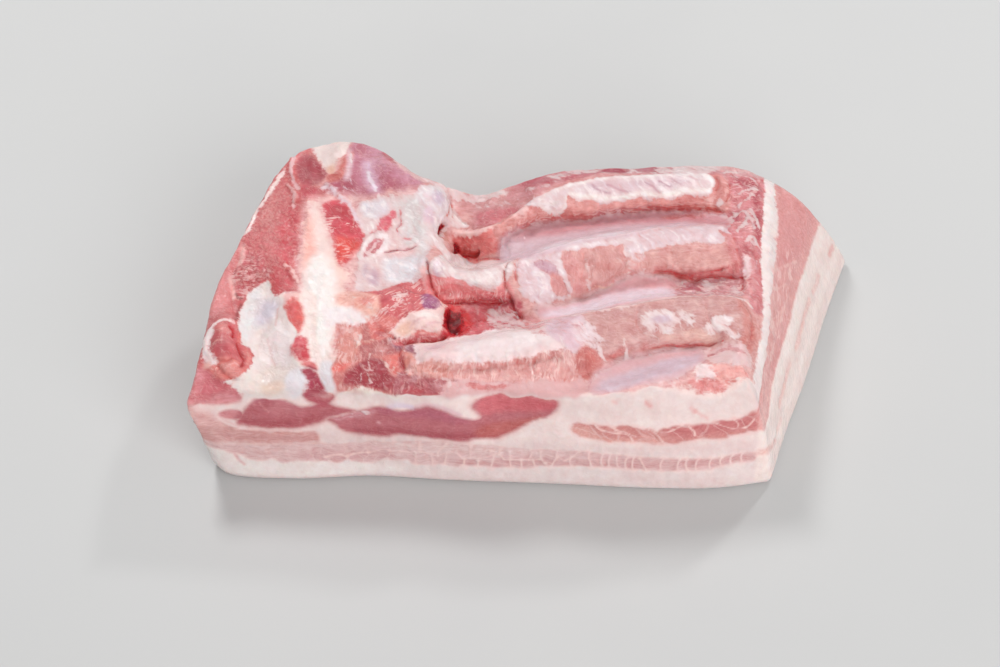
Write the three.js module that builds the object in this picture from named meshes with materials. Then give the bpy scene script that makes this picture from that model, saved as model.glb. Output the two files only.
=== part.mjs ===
// A raw pork belly slab, cut across the full width of the belly and lying rind down, with the beds of three
// ribs showing on top. Millimetres, +Z up. The origin is under the middle of the slab, on the surface it lies
// on. +X runs from the breastbone edge to the loin cut, and +Y from the front cut to the back cut.
import * as THREE from "three";

// Driving dimensions: the slab's box, and the height of its rib side over the rind.
const LENGTH = 290;
const DEPTH = 145;
const THICKNESS = 52;

// The rind's lower edge is rounded over this height.
const EDGE_ROUND = 3;
// Relief fades out over this distance from the rim.
const RIM_FADE = 6;

// Cells of the grid: along X, along Y, and rows of the sides as shares of the height.
const CELLS_X = 64;
const CELLS_Y = 36;
const ROWS = [0, 0.03, 0.1, 0.22, 0.34, 0.46, 0.58, 0.7, 0.85, 1];

// A place is given as shares of half the length, half the depth and the thickness.
const place = ([x, y, z = 0]) => new THREE.Vector3((x * LENGTH) / 2, (y * DEPTH) / 2, z * THICKNESS);
const curveThrough = (places) => new THREE.CatmullRomCurve3(places.map(place), false, "centripetal");

// The rim, where the rib side meets the four cuts. Each side runs towards +X or +Y.
const rim = {
  front: curveThrough([
    [-1, -0.83, 0.83], [-0.91, -0.77, 0.88], [-0.78, -0.78, 0.9], [-0.52, -0.78, 0.94], [-0.24, -0.84, 0.96],
    [-0.1, -0.8, 0.96], [0.04, -0.84, 0.98], [0.19, -0.84, 0.98], [0.33, -0.8, 1], [0.47, -0.74, 1],
    [0.61, -0.71, 1],
  ]),
  right: curveThrough([
    [0.61, -0.71, 1], [0.61, -0.53, 1.02], [0.63, -0.23, 1.02], [0.66, 0.24, 1.02], [0.68, 0.65, 1.02],
    [0.7, 0.87, 1],
  ]),
  back: curveThrough([
    [-0.71, 0.96, 1.19], [-0.65, 1, 1.21], [-0.56, 1, 1.26], [-0.45, 0.93, 1.24], [-0.37, 0.82, 1.16],
    [-0.28, 0.8, 1.04], [-0.16, 0.79, 0.9], [-0.07, 0.84, 0.94], [0.03, 0.9, 0.98], [0.14, 0.94, 1],
    [0.33, 0.96, 1], [0.52, 0.98, 1], [0.64, 0.96, 1], [0.7, 0.87, 1],
  ]),
  left: curveThrough([
    [-1, -0.83, 0.83], [-0.98, -0.65, 0.9], [-0.96, -0.38, 0.96], [-0.94, -0.06, 1], [-0.89, 0.24, 1.04],
    [-0.83, 0.57, 1.1], [-0.77, 0.83, 1.15], [-0.71, 0.96, 1.19],
  ]),
};

// The outline of the rind. The loin cut slopes outwards, and the breastbone edge is undercut.
const rind = {
  front: curveThrough([
    [-0.94, -0.8], [-0.9, -0.89], [-0.68, -0.93], [-0.48, -0.91], [-0.24, -0.94], [0.08, -0.97], [0.34, -1],
    [0.54, -1], [0.7, -0.95],
  ]),
  right: curveThrough([[0.7, -0.95], [0.77, -0.54], [0.84, -0.17], [0.92, 0.31], [1.01, 0.8]]),
  back: curveThrough([
    [-0.67, 0.85], [-0.55, 0.9], [-0.34, 0.8], [-0.07, 0.83], [0.28, 0.91], [0.62, 0.91], [0.86, 0.86],
    [1.01, 0.8],
  ]),
  left: curveThrough([[-0.94, -0.8], [-0.92, -0.41], [-0.87, 0.07], [-0.78, 0.55], [-0.67, 0.85]]),
};

// How each side goes from rind to rim, at its first corner, middle and last corner, round the slab from the
// front left. At 1 it is straight, and under 1 it bulges: steep at the rind and shallow at the rim.
const BULGES = {
  front: [0.95, 0.8, 0.7],
  right: [0.7, 0.6, 0.6],
  back: [0.6, 0.8, 0.95],
  left: [0.95, 1, 0.95],
};

// Relief of the rib side. Each swell follows a line, rises by height (or sinks, where that is below 0), and
// reaches out behind and in front of its line, in millimetres.
const swells = [
  // Beds of the three ribs, deepest behind.
  { line: [[-0.18, 0.28], [-0.11, 0.3], [-0.05, 0.37], [0.01, 0.47], [0.1, 0.52], [0.23, 0.58], [0.55, 0.59]],
    height: -6, back: 8, front: 17 },
  { line: [[0.01, -0.22], [0.08, -0.11], [0.22, 0], [0.35, 0.06], [0.49, 0.04], [0.6, 0.04]],
    height: -6, back: 8, front: 17 },
  { line: [[0.12, -0.7], [0.19, -0.66], [0.28, -0.59], [0.41, -0.48], [0.51, -0.46]],
    height: -5, back: 9, front: 13 },
  // Meat left standing between the beds.
  { line: [[0.03, 0.74], [0.12, 0.79], [0.23, 0.8], [0.37, 0.81], [0.51, 0.83], [0.58, 0.81]],
    height: 4, back: 10, front: 13 },
  { line: [[-0.04, 0.17], [0.08, 0.25], [0.22, 0.32], [0.36, 0.4], [0.5, 0.46], [0.58, 0.44]],
    height: 3, back: 10, front: 26 },
  { line: [[0.03, -0.33], [0.11, -0.32], [0.21, -0.26], [0.34, -0.19], [0.48, -0.14], [0.6, -0.15]],
    height: 3, back: 10, front: 24 },
  { line: [[-0.3, -0.58], [-0.23, -0.54], [-0.12, -0.48], [-0.02, -0.47], [0.08, -0.48]],
    height: 4, back: 9, front: 14 },
  // The fold of membrane and fat that runs down beside the cavities, and the bridge that leaves it.
  { line: [[-0.41, 0.79], [-0.31, 0.61], [-0.29, 0.34], [-0.3, 0.11]], height: 5, back: 12, front: 13 },
  { line: [[-0.28, 0.11], [-0.21, 0.07], [-0.12, 0.06], [-0.06, 0.08]], height: 4, back: 11, front: 11 },
  // Lean meat ending over the lower cavity, and the domed muscle at the back.
  { line: [[-0.5, -0.18], [-0.39, -0.14], [-0.31, -0.18], [-0.27, -0.25]], height: 4, back: 12, front: 14 },
  { line: [[-0.55, 0.84], [-0.44, 0.65]], height: 4, back: 18, front: 18 },
  // The cut breastbone, the fat pocket beside it and the clump of meat at the edge.
  { line: [[-0.67, 0.54], [-0.62, 0.1], [-0.58, -0.39], [-0.57, -0.73]], height: 2, back: 12, front: 12 },
  { line: [[-0.81, -0.08], [-0.81, -0.39], [-0.77, -0.59]], height: -4, back: 14, front: 14 },
  { line: [[-0.89, -0.34], [-0.9, -0.51], [-0.86, -0.65]], height: 3, back: 10, front: 10 },
  // The cavities at the inner ends of the ribs.
  { line: [[-0.23, 0.43], [-0.19, 0.34]], height: -6, back: 9, front: 11 },
  { line: [[-0.23, -0.19], [-0.17, -0.19], [-0.08, -0.19]], height: -7, back: 9, front: 15 },
].map((swell) => ({ ...swell, line: swell.line.map(place) }));

// The nearest point of a line to (x, y): its distance, positive behind a line that runs towards +X.
function signedDistance(x, y, line) {
  let nearest = Infinity;
  let side = 1;
  for (let i = 1; i < line.length; i += 1) {
    const [a, b] = [line[i - 1], line[i]];
    const [dx, dy] = [b.x - a.x, b.y - a.y];
    const along = THREE.MathUtils.clamp(((x - a.x) * dx + (y - a.y) * dy) / (dx * dx + dy * dy), 0, 1);
    const distance = Math.hypot(x - a.x - along * dx, y - a.y - along * dy);
    if (distance < nearest) {
      nearest = distance;
      side = dx * (y - a.y) - dy * (x - a.x) >= 0 ? 1 : -1;
    }
  }
  return side * nearest;
}

// Sum of the swells at (x, y).
function relief(x, y) {
  return swells.reduce((sum, { line, height, back, front }) => {
    const distance = signedDistance(x, y, line);
    const share = Math.min(1, Math.abs(distance) / (distance > 0 ? back : front));
    return sum + height * (1 - share * share) ** 2;
  }, 0);
}

// The point at shares u and v of a patch spanned by four curves that share their corners.
function patchPoint({ front, right, back, left }, u, v) {
  const terms = [
    [front.getPointAt(u), 1 - v], [back.getPointAt(u), v],
    [left.getPointAt(v), 1 - u], [right.getPointAt(v), u],
    [front.getPoint(0), (u - 1) * (1 - v)], [front.getPoint(1), u * (v - 1)],
    [back.getPoint(0), (u - 1) * v], [back.getPoint(1), -u * v],
  ];
  return terms.reduce((sum, [point, weight]) => sum.addScaledVector(point, weight), new THREE.Vector3());
}

// The rib side: the patch inside the rim, with its relief.
function ribSidePoint(u, v) {
  const point = patchPoint(rim, u, v);
  const toRim = Math.min(Math.min(u, 1 - u) * LENGTH, Math.min(v, 1 - v) * DEPTH);
  point.z += relief(point.x, point.y) * THREE.MathUtils.smoothstep(toRim, 0, RIM_FADE);
  return point;
}

// Stations round the slab from the front left corner, counter-clockwise: side, share along it, and bulge.
function stations() {
  const bulgeAt = ([first, middle, last], share) =>
    share < 0.5
      ? THREE.MathUtils.lerp(first, middle, 2 * share)
      : THREE.MathUtils.lerp(middle, last, 2 * share - 1);
  const run = (side, cells, backwards) =>
    Array.from({ length: cells }, (_, i) => ({
      side,
      share: backwards ? 1 - i / cells : i / cells,
      bulge: bulgeAt(BULGES[side], i / cells),
    }));
  return [
    ...run("front", CELLS_X, false),
    ...run("right", CELLS_Y, false),
    ...run("back", CELLS_X, true),
    ...run("left", CELLS_Y, true),
  ];
}

// Vertices and triangles of one closed surface, in the order they are added.
class Surface {
  positions = [];
  triangles = [];

  vertex(point) {
    this.positions.push(point.x, point.y, point.z);
    return this.positions.length / 3 - 1;
  }

  quad(a, b, c, d) {
    this.triangles.push(a, b, c, a, c, d);
  }

  geometry() {
    const geometry = new THREE.BufferGeometry();
    geometry.setAttribute("position", new THREE.Float32BufferAttribute(this.positions, 3));
    geometry.setIndex(this.triangles);
    geometry.computeVertexNormals();
    return geometry;
  }
}

// Indices of a grid's edge, in the order of the stations.
function edgeLoop(grid) {
  const [columns, rows] = [grid.length - 1, grid[0].length - 1];
  return [
    ...grid.slice(0, columns).map((column) => column[0]),
    ...grid[columns].slice(0, rows),
    ...grid.slice(1).reverse().map((column) => column[rows]),
    ...grid[0].slice(1).reverse(),
  ];
}

// A grid of vertices over shares u and v.
function addGrid(surface, columns, rows, pointAt) {
  return Array.from({ length: columns + 1 }, (_, i) =>
    Array.from({ length: rows + 1 }, (_, j) => surface.vertex(pointAt(i / columns, j / rows))),
  );
}

// The rib side, on top.
function addRibSide(surface) {
  const grid = addGrid(surface, CELLS_X, CELLS_Y, ribSidePoint);
  for (let i = 0; i < CELLS_X; i += 1)
    for (let j = 0; j < CELLS_Y; j += 1)
      surface.quad(grid[i][j], grid[i + 1][j], grid[i + 1][j + 1], grid[i][j + 1]);
  return edgeLoop(grid);
}

// One ring of the sides at a share of the height, from the rind's outline towards the rim.
function addRing(surface, around, share) {
  return around.map(({ side, share: along, bulge }, i) => {
    const low = rind[side].getPointAt(along);
    const high = rim[side].getPointAt(along);
    const point = low.clone().lerp(high, 1 - (1 - share) ** bulge);
    point.z = share * high.z;
    const before = around[(i + around.length - 1) % around.length];
    const after = around[(i + 1) % around.length];
    const tangent = rind[after.side].getPointAt(after.share).sub(rind[before.side].getPointAt(before.share));
    const inward = new THREE.Vector3(-tangent.y, tangent.x, 0).normalize();
    const turn = 1 - Math.min(1, point.z / EDGE_ROUND);
    return surface.vertex(point.addScaledVector(inward, EDGE_ROUND * (1 - Math.sqrt(1 - turn * turn))));
  });
}

// The four cuts, from the rind's edge up to the rim.
function addSides(surface, rimLoop) {
  const around = stations();
  const rings = ROWS.slice(0, -1).map((share) => addRing(surface, around, share));
  rings.push(rimLoop);
  for (let row = 1; row < rings.length; row += 1)
    for (let i = 0; i < around.length; i += 1) {
      const next = (i + 1) % around.length;
      surface.quad(rings[row - 1][i], rings[row - 1][next], rings[row][next], rings[row][i]);
    }
  return rings[0];
}

// The rind, flat underneath. Its cells are twice as large, and those at its edge take in every edge vertex.
function addRind(surface, edge) {
  const [columns, rows] = [CELLS_X / 2, CELLS_Y / 2];
  const at = (index) => new THREE.Vector3().fromArray(surface.positions, 3 * index);
  const sides = {
    front: edge.slice(0, CELLS_X + 1),
    right: edge.slice(CELLS_X, CELLS_X + CELLS_Y + 1),
    back: edge.slice(CELLS_X + CELLS_Y, 2 * CELLS_X + CELLS_Y + 1).reverse(),
    left: [...edge.slice(2 * CELLS_X + CELLS_Y), edge[0]].reverse(),
  };
  const curves = Object.fromEntries(
    Object.entries(sides).map(([name, indices]) => {
      const points = indices.map(at);
      const pointAt = (share) => points[Math.round(share * (points.length - 1))].clone();
      return [name, { getPointAt: pointAt, getPoint: pointAt }];
    }),
  );
  const isEdge = (i, j) => i === 0 || j === 0 || i === columns || j === rows;
  const edgeIndex = (i, j) => {
    if (j === 0) return sides.front[i];
    if (j === 2 * rows) return sides.back[i];
    return i === 0 ? sides.left[j] : sides.right[j];
  };
  const grid = Array.from({ length: columns + 1 }, (_, i) =>
    Array.from({ length: rows + 1 }, (_, j) =>
      isEdge(i, j) ? edgeIndex(2 * i, 2 * j) : surface.vertex(patchPoint(curves, i / columns, j / rows)),
    ),
  );
  for (let i = 0; i < columns; i += 1)
    for (let j = 0; j < rows; j += 1) {
      // Clockwise from above, so that the cell faces down, with the edge vertices between its corners.
      const corners = [[i, j], [i, j + 1], [i + 1, j + 1], [i + 1, j]];
      const outline = corners.flatMap(([a, b], n) => {
        const [c, d] = corners[(n + 1) % 4];
        const alongEdge = (a === c && (a === 0 || a === columns)) || (b === d && (b === 0 || b === rows));
        return alongEdge ? [grid[a][b], edgeIndex(a + c, b + d)] : [grid[a][b]];
      });
      const inner = grid[i === 0 ? 1 : i][j === 0 ? 1 : j];
      const start = outline.indexOf(inner);
      for (let n = 1; n < outline.length - 1; n += 1)
        surface.triangles.push(
          inner,
          outline[(start + n) % outline.length],
          outline[(start + n + 1) % outline.length],
        );
    }
}

// Moves the finished slab so that its box is centred over the origin.
function centred(geometry) {
  geometry.computeBoundingBox();
  const middle = geometry.boundingBox.getCenter(new THREE.Vector3());
  return geometry.translate(-middle.x, -middle.y, -geometry.boundingBox.min.z);
}

function porkBelly() {
  const surface = new Surface();
  addRind(surface, addSides(surface, addRibSide(surface)));
  const meat = new THREE.MeshStandardMaterial({ color: 0xd99a96, roughness: 0.45, metalness: 0 });
  const slab = new THREE.Mesh(centred(surface.geometry()), meat);
  slab.name = "pork_belly";
  return slab;
}

const group = new THREE.Group();
group.add(porkBelly());

export default group;
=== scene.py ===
"""The looks of a raw pork belly slab: relief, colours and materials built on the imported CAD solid.

Shapes are in millimetres in the row's frame. Those on the rib side are seen from above, as (x, y), those
on the front and back cuts as (x, z), and those on the loin cut and the breastbone edge as (y, z). Colours
are sRGB.
"""

import functools
import itertools
import math

import bmesh
import bpy
import numpy as np
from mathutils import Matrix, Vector


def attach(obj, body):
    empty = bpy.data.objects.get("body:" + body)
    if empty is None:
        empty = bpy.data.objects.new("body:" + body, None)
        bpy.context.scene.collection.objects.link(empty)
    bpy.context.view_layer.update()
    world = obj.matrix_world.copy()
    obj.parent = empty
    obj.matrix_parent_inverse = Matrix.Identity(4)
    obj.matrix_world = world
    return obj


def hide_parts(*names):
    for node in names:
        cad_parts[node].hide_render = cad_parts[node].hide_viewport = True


MM = 0.001

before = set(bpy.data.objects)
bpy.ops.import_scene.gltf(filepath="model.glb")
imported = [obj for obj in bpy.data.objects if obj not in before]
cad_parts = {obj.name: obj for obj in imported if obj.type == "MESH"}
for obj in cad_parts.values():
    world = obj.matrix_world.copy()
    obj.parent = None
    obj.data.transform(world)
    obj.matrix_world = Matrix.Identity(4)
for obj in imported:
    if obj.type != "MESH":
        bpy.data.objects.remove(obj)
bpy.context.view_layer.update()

# The ground colours of a face, where nothing else is painted on it.
FAT = "#f0dbd8"
RIND = "#deccca"
MEMBRANE = "#e5cdcd"
RIB_SIDE_LEAN = "#e0a6a2"
CUT_LEAN = "#d68c8a"


def linear(colour):
    """An sRGB colour, "#rrggbb", as linear numbers."""
    c = np.array([*bytes.fromhex(colour[1:])]) / 255
    return np.where(c <= 0.04045, c / 12.92, ((c + 0.055) / 1.055) ** 2.4)


# ---------------------------------------------------------------------------------------------------------
# Numbers: noise, ramps, lines and outlines
# ---------------------------------------------------------------------------------------------------------

# The noise's table: as many slopes, in a random order.
SLOPES = 256
random = np.random.default_rng(7)
order = random.permutation(SLOPES)
slopes = random.normal(size=(SLOPES, 3))
slopes /= np.linalg.norm(slopes, axis=1, keepdims=True)
SEED_SHIFT = np.array([31.7, 11.3, 5.9])
NOISE_GAIN = 1.6


def noise(places, size, seed=0):
    """Smooth noise, about -1 to 1, whose lumps are of the given size."""
    q = places / size + seed * SEED_SHIFT
    cell = np.floor(q).astype(int)
    part = q - cell
    ease = part**3 * (part * (part * 6 - 15) + 10)
    total = np.zeros(len(q))
    for corner in itertools.product((0, 1), repeat=3):
        c = (cell + corner) % SLOPES
        row = order[(order[(order[c[:, 0]] + c[:, 1]) % SLOPES] + c[:, 2]) % SLOPES]
        share = np.prod(np.where(np.array(corner) == 1, ease, 1 - ease), axis=1)
        total += share * ((part - corner) * slopes[row]).sum(1)
    return total * NOISE_GAIN


def rise(value, start, end):
    """0 before start, 1 after end, and a smooth rise between them."""
    t = np.clip((value - start) / (end - start), 0, 1)
    return t * t * (3 - 2 * t)


def curve(points, closed=False, pieces=6):
    """Points along a smooth curve through the given ones."""
    p = np.array(points, float)
    if len(p) < 3:
        return p
    if closed:
        p = np.vstack([p[-1], p, p[0], p[1]])
    else:
        p = np.vstack([2 * p[0] - p[1], p, 2 * p[-1] - p[-2]])
    t = np.linspace(0, 1, pieces, endpoint=False)[:, None]
    out = []
    for a, b, c, d in zip(p, p[1:], p[2:], p[3:]):
        out.append(0.5 * (2 * b + (c - a) * t + (2 * a - 5 * b + 4 * c - d) * t**2
                          + (3 * b - a - 3 * c + d) * t**3))
    if not closed:
        out.append(p[-2][None])
    return np.vstack(out)


def along(places, line):
    """For each place the distance to a line, positive on its left, and how far along the line it is."""
    tiny = 1e-9
    starts, steps = line[:-1], np.diff(line, axis=0)
    lengths = np.linalg.norm(steps, axis=1)
    run = np.concatenate([[0], np.cumsum(lengths)[:-1]])
    offset = places[:, None] - starts
    t = np.clip((offset * steps).sum(2) / (lengths**2 + tiny), 0, 1)
    away = offset - t[..., None] * steps
    distance = np.linalg.norm(away, axis=2)
    nearest = distance.argmin(1)
    rows = np.arange(len(places))
    away, step = away[rows, nearest], steps[nearest]
    side = np.where(step[:, 0] * away[:, 1] - step[:, 1] * away[:, 0] >= 0, 1, -1)
    share = (run[nearest] + t[rows, nearest] * lengths[nearest]) / lengths.sum()
    return side * distance[rows, nearest], share


def inside(places, outline):
    """How far inside a closed outline each place is: negative outside."""
    tiny = 1e-9
    closed = np.vstack([outline, outline[:1]])
    distance = np.abs(along(places, closed)[0])
    x, y = places[:, :1], places[:, 1:]
    x0, y0 = closed[:-1].T
    x1, y1 = closed[1:].T
    crossing = (y0 > y) != (y1 > y)
    slope = (x1 - x0) / np.where(np.abs(y1 - y0) < tiny, tiny, y1 - y0)
    odd = (crossing & (x < x0 + (y - y0) * slope)).sum(1) % 2 == 1
    return np.where(odd, distance, -distance)


def near(places, line, reach):
    """Which places are within reach of a line's box."""
    low, high = line.min(0) - reach, line.max(0) + reach
    return np.flatnonzero(((places > low) & (places < high)).all(1))


# ---------------------------------------------------------------------------------------------------------
# The slab's mesh, from its CAD solid
# ---------------------------------------------------------------------------------------------------------

def link(thing):
    """Puts a new object in the scene."""
    bpy.context.scene.collection.objects.link(thing)
    return thing


def fine_mesh(node, name, levels):
    """A copy of a CAD node as rounded, finely divided quads."""
    mesh = node.data.copy()
    mesh.materials.clear()
    work = bmesh.new()
    work.from_mesh(mesh)
    bmesh.ops.remove_doubles(work, verts=work.verts, dist=0.01 * MM)
    bmesh.ops.join_triangles(
        work, faces=work.faces, angle_face_threshold=math.pi, angle_shape_threshold=math.pi
    )
    work.to_mesh(mesh)
    work.free()
    piece = link(bpy.data.objects.new(name, mesh))
    piece.modifiers.new("rounding", "SUBSURF").levels = levels
    depsgraph = bpy.context.evaluated_depsgraph_get()
    piece.data = bpy.data.meshes.new_from_object(piece.evaluated_get(depsgraph))
    piece.modifiers.clear()
    bpy.data.meshes.remove(mesh)
    return piece


def coordinates(mesh):
    """A mesh's vertices in millimetres."""
    co = np.empty(len(mesh.vertices) * 3)
    mesh.vertices.foreach_get("co", co)
    return co.reshape(-1, 3) / MM


def set_coordinates(mesh, co):
    """Moves a mesh's vertices to the given places, in millimetres."""
    mesh.vertices.foreach_set("co", (co * MM).ravel())
    mesh.update()


def normals(mesh):
    """The direction that a mesh faces at each vertex."""
    n = np.empty(len(mesh.vertices) * 3, np.float32)
    mesh.vertex_normals.foreach_get("vector", n)
    return n.reshape(-1, 3).astype(float)


def smoothed(mesh, values, rounds):
    """Values averaged over their neighbours."""
    ends = np.empty(len(mesh.edges) * 2, int)
    mesh.edges.foreach_get("vertices", ends)
    a, b = ends.reshape(-1, 2).T
    count = np.bincount(ends, minlength=len(values))
    for _ in range(rounds):
        around = [
            np.bincount(a, column[b], len(values)) + np.bincount(b, column[a], len(values))
            for column in values.T
        ]
        values = 0.5 * values + 0.5 * np.stack(around, 1) / count[:, None]
    return values


# ---------------------------------------------------------------------------------------------------------
# Relief of the rib side
# ---------------------------------------------------------------------------------------------------------

def points(text):
    """The points of a line or outline, which is written as in SVG: "x,y x,y"."""
    return [tuple(map(float, point.split(","))) for point in text.split()]


# Creases: (depth, half width, line).
CREASES = [
    # Under the meat behind each rib's bed.
    (1.2, 1.5, "-30,24.5 -20,21 -11,21 -10,29 0,37.5 10,40 20,42 36,44"),
    (2.3, 1.1, "36,44 47,45.3 60,46 72,46.2 80,45 85,41"), (0.9, 1.8, "20,-1.5 30,1.5 40,5 47,7.5"),
    (2.2, 1.1, "48,8.2 60,7.2 65,6 70,4.6 77,6 84,5.4 91,4.4"), (1.4, 0.9, "60,7.6 68,6.6 75,7.4 84,9.2"),
    (0.9, 1.6, "28,-40 36,-39 42,-36 50,-33"), (1.5, 1, "46,-35.4 56,-33.2 66,-32.2 79,-31.8"),
    # Folds at the ends of the strips.
    (1.4, 1.2, "80,50 82,54 81,59"), (1.2, 1.2, "84,46 87,50 87.5,56"), (1, 0.9, "72,-47 77,-51.6 84,-53"),
    (1, 0.9, "64,-52.6 71,-51.6 78,-53.6"),
    # Between the lobes of the second and third strips.
    (0.9, 2, "21,16 21.8,9 20.5,1"), (0.9, 2, "40,18 39.5,10 37,4"), (0.7, 1.8, "45,21 47,14 50,9"),
    (0.7, 2, "59,22 60,14 63,9"), (0.8, 2, "20,-22 22,-30 27,-38"), (0.8, 2, "45,-17 43,-25 46,-32"),
    (0.8, 2, "73,-13 73,-22 76,-29"), (0.7, 1.6, "9,-19 9,-26 6,-34"),
    # Down the ends of those strips of meat, and the split between the bridge and the second one.
    (0.9, 1.3, "83,32 87,24 88.5,16 89,8"), (0.8, 1.5, "89,-12 92.5,-20 91.5,-30 88,-39"),
    (0.7, 0.8, "53,-30 60,-28.4 68,-27.4"), (1.3, 1, "-11,8 -12.3,2 -12,-2 -10.6,-6"),
    (1.2, 1, "-6,8 -7.4,3 -7.4,-2"), (2.8, 1.2, "-10,-5 -10.5,-9 -8,-13.5 -3,-16.5"),
    # Under the bridge, and the slits in the fold.
    (3.4, 1.8, "-41,-6 -38,-8 -32,-8 -25,-7.5 -18,-9 -10,-9"),
    (4, 1, "-40.4,27 -39.6,30 -38.4,33.5 -37,37"), (1.8, 0.9, "-39,58 -36.4,54 -34.6,46 -31,41 -27,37.5"),
    (1, 0.9, "-37,52 -36.6,46 -37.2,40"), (0.9, 0.8, "-58.5,36 -57,31.4 -58.6,28 -57.3,24.2"),
    (0.9, 0.9, "-64,14.6 -60,17.4 -56,18.2 -50,19.8"), (4, 1.3, "-33.5,31 -31.5,28 -28,25.5 -23,24.5"),
    (2.4, 1.3, "-35,21 -33,25 -32.5,29"), (2.6, 1, "-46.6,11 -45,3 -42.5,-2 -39,-5.6 -35,-8"),
    # Round the torn lean meat and the block beside it.
    (2.6, 1.4, "-56,-33 -51,-31 -45,-30.5 -40,-30.5 -36,-28"),
    (1.5, 0.9, "-55,-34 -56,-38 -55.4,-41 -54.3,-44.5 -53.2,-48"), (1.5, 1.4, "-66,-25 -60,-28 -56,-32"),
    # Beside the clump at the breastbone edge.
    (1.3, 0.8, "-124.4,-33 -122.8,-37 -121.2,-40 -121.4,-43 -122.4,-46"),
    (1.5, 0.9, "-128,-25 -126.4,-28 -126,-31.4"), (0.9, 1, "-133,-42.4 -129,-43 -125,-42"),
    (1.2, 1.5, "-133,-43 -127,-50 -122,-51"), (0.9, 1.6, "-124,24 -127,12 -128.5,2 -128,-10 -126,-20"),
]

# Steps: (height, half width, line), higher on the left of the line.
STEPS = [
    (1.6, 3, "-8,31 0,39 10,42 20,44 33,45 47,47 60,48 72,48 80,47"),
    (1, 3, "10,-6 20,-2 30,1 40,5 50,8 70,7 88,7"), (0.9, 2.5, "28,-39 42,-36 58,-32 78,-31"),
    (1.5, 2.6, "-49,-46 -35,-46 -20,-44.5 0,-42 16,-39"), (1.6, 2.6, "-42,0 -34,-2 -24,-5 -15,-5 -10,-3"),
]

# Low rounded lines: (height, half width, line).
CORDS = [
    (1, 1.2, "-106,66 -106,58 -104.5,52"), (0.9, 1.1, "-108,51 -105,47 -103,42 -104,38"),
    (0.8, 1.2, "-107,7 -104,4 -101,-2"), (0.7, 1.2, "-133,-23 -136.5,-28 -137,-36 -133,-42"),
    (0.8, 1.3, "-92,48 -88,46 -84,42 -80,38"), (0.8, 1.2, "-74,10 -73,18 -68,24"),
    (0.6, 1, "-63,12 -58,17 -53,20"), (1.5, 1.5, "-35,34.6 -28,33.4 -22,31.8 -16,33.8 -9,37.5 -2,42"),
    (0.7, 1.2, "-4,12.5 5,15 12,18 22,21 34,23 45,26 56,29"),
    (0.6, 1.1, "15,-22.5 24,-20 35,-17.5 50,-15.5 62,-13"),
    (0.9, 2.6, "93.5,-56 95,-40 98,-22 101,2 102.5,25 105,45 107,62"),
]

# Lumps and dips: (height, x, y, radius along x, radius along y).
LUMPS = [
    (0.5, -98, -52, 6, 6), (0.5, -83.4, -52.6, 5.5, 6), (1.6, -130, -33, 5, 9), (1.1, -119.6, -38, 2.2, 6),
    (1.2, -128, -47, 6, 4), (0.9, -51.2, -44.4, 1.6, 4.5), (0.8, -71, -48, 6, 5), (0.7, -72, -31, 3, 5),
    (1.5, -83, 26, 7, 12), (1.2, -101, -18, 4, 9), (1.2, -98, -38, 4, 7), (1.3, -66, 8, 8, 9),
    (1.4, -54, 10, 8, 8), (1.2, -60, 30, 7, 7), (2.8, -43, 45, 6, 9), (1.6, -46, 33, 4, 7),
    (1, -69, 16, 4, 5), (1.6, -47, -22, 6, 5), (1.3, -39, -14, 4, 5), (1.2, -66, -46, 8, 8),
    (1.4, -74, -34, 6, 9), (1, -42, -54, 9, 5), (-4.5, -33.5, -19, 3, 7), (-2.5, -31, -24, 2, 3),
    (-2, -24, -13, 9, 5), (1.4, -22, -20, 6, 5), (1.2, 5, -27, 5, 7), (0.9, 16, 8, 5, 8), (1, 29, 9, 6, 9),
    (0.7, 4, 4, 6, 6), (0.8, 66, 15, 12, 5), (0.8, 22, -43.5, 5, 4), (0.8, 34, -28, 8, 7),
    (0.7, 56, -24, 9, 5), (0.8, 80, -26, 6, 5), (1.2, 77, -49, 7, 4), (0.9, 12, 50, 8, 5),
    (1, -20, 39, 5, 4), (0.9, -8, 43, 7, 4), (1.1, 95, 55, 6, 8), (0.9, 95, 30, 5, 9), (1.2, 92, 9, 3, 6),
    (0.7, 70, 43, 8, 3),
]

# Torn or ragged meat: (roughness, outline).
ROUGH = [
    (0.5, "-128,12 -118,13 -112,0 -119,-2 -124,-8 -128,-6"),
    (0.8, "-34,33 -20,34 -6,38 0,42 30,46 60,48 80,49 90,46 84,40 60,43 30,41 0,36 -12,26 -30,23"),
    (0.7, "-30,36 -8,36 4,44 2,56 -30,54"), (0.9, "84,66 88,44 84,30 89,10 90,-8 96,-14 104,10 108,66"),
    (0.8, "48,9 70,10 90,10 90,-8 66,-8 60,2"), (0.9, "64,-50 72,-44 86,-42 90,-52 74,-56"),
    (1, "-34,-8 -8,-8 -3,-16 -8,-26 -22,-27 -36,-30 -58,-33 -60,-28 -46,-26 -37,-20"),
    (0.8, "-82,-24 -58,-30 -50,-46 -30,-52 -32,-60 -80,-58"),
    (0.8, "-50,-46 16,-40 16,-52 -30,-53 -50,-50"), (0.5, "-64,-8 -50,2 -36,-8 -38,-26 -58,-26 -78,-16"),
]

# How far painted edges and creases stray from their smooth course, on the rib side and on the cuts.
WANDER = 0.7
CUT_WANDER = 0.35
BREAST_WANDER = 0.6


def jittered(flat, places, amount):
    """Flat coordinates pushed about, so that lines and edges wander."""
    wide = np.stack([noise(places, 9, 11), noise(places, 9, 12)], 1)
    fine = np.stack([noise(places, 3, 13), noise(places, 3, 14)], 1)
    return flat + amount * (wide + 0.5 * fine)


# Sections of the lines in the relief. Across is 1 at the line's half width.

def groove(across):
    """A narrow slit in a wider dip."""
    return -0.75 * np.exp(-((across / 0.6) ** 2)) - 0.25 * np.exp(-((across / 2.2) ** 2))


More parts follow.
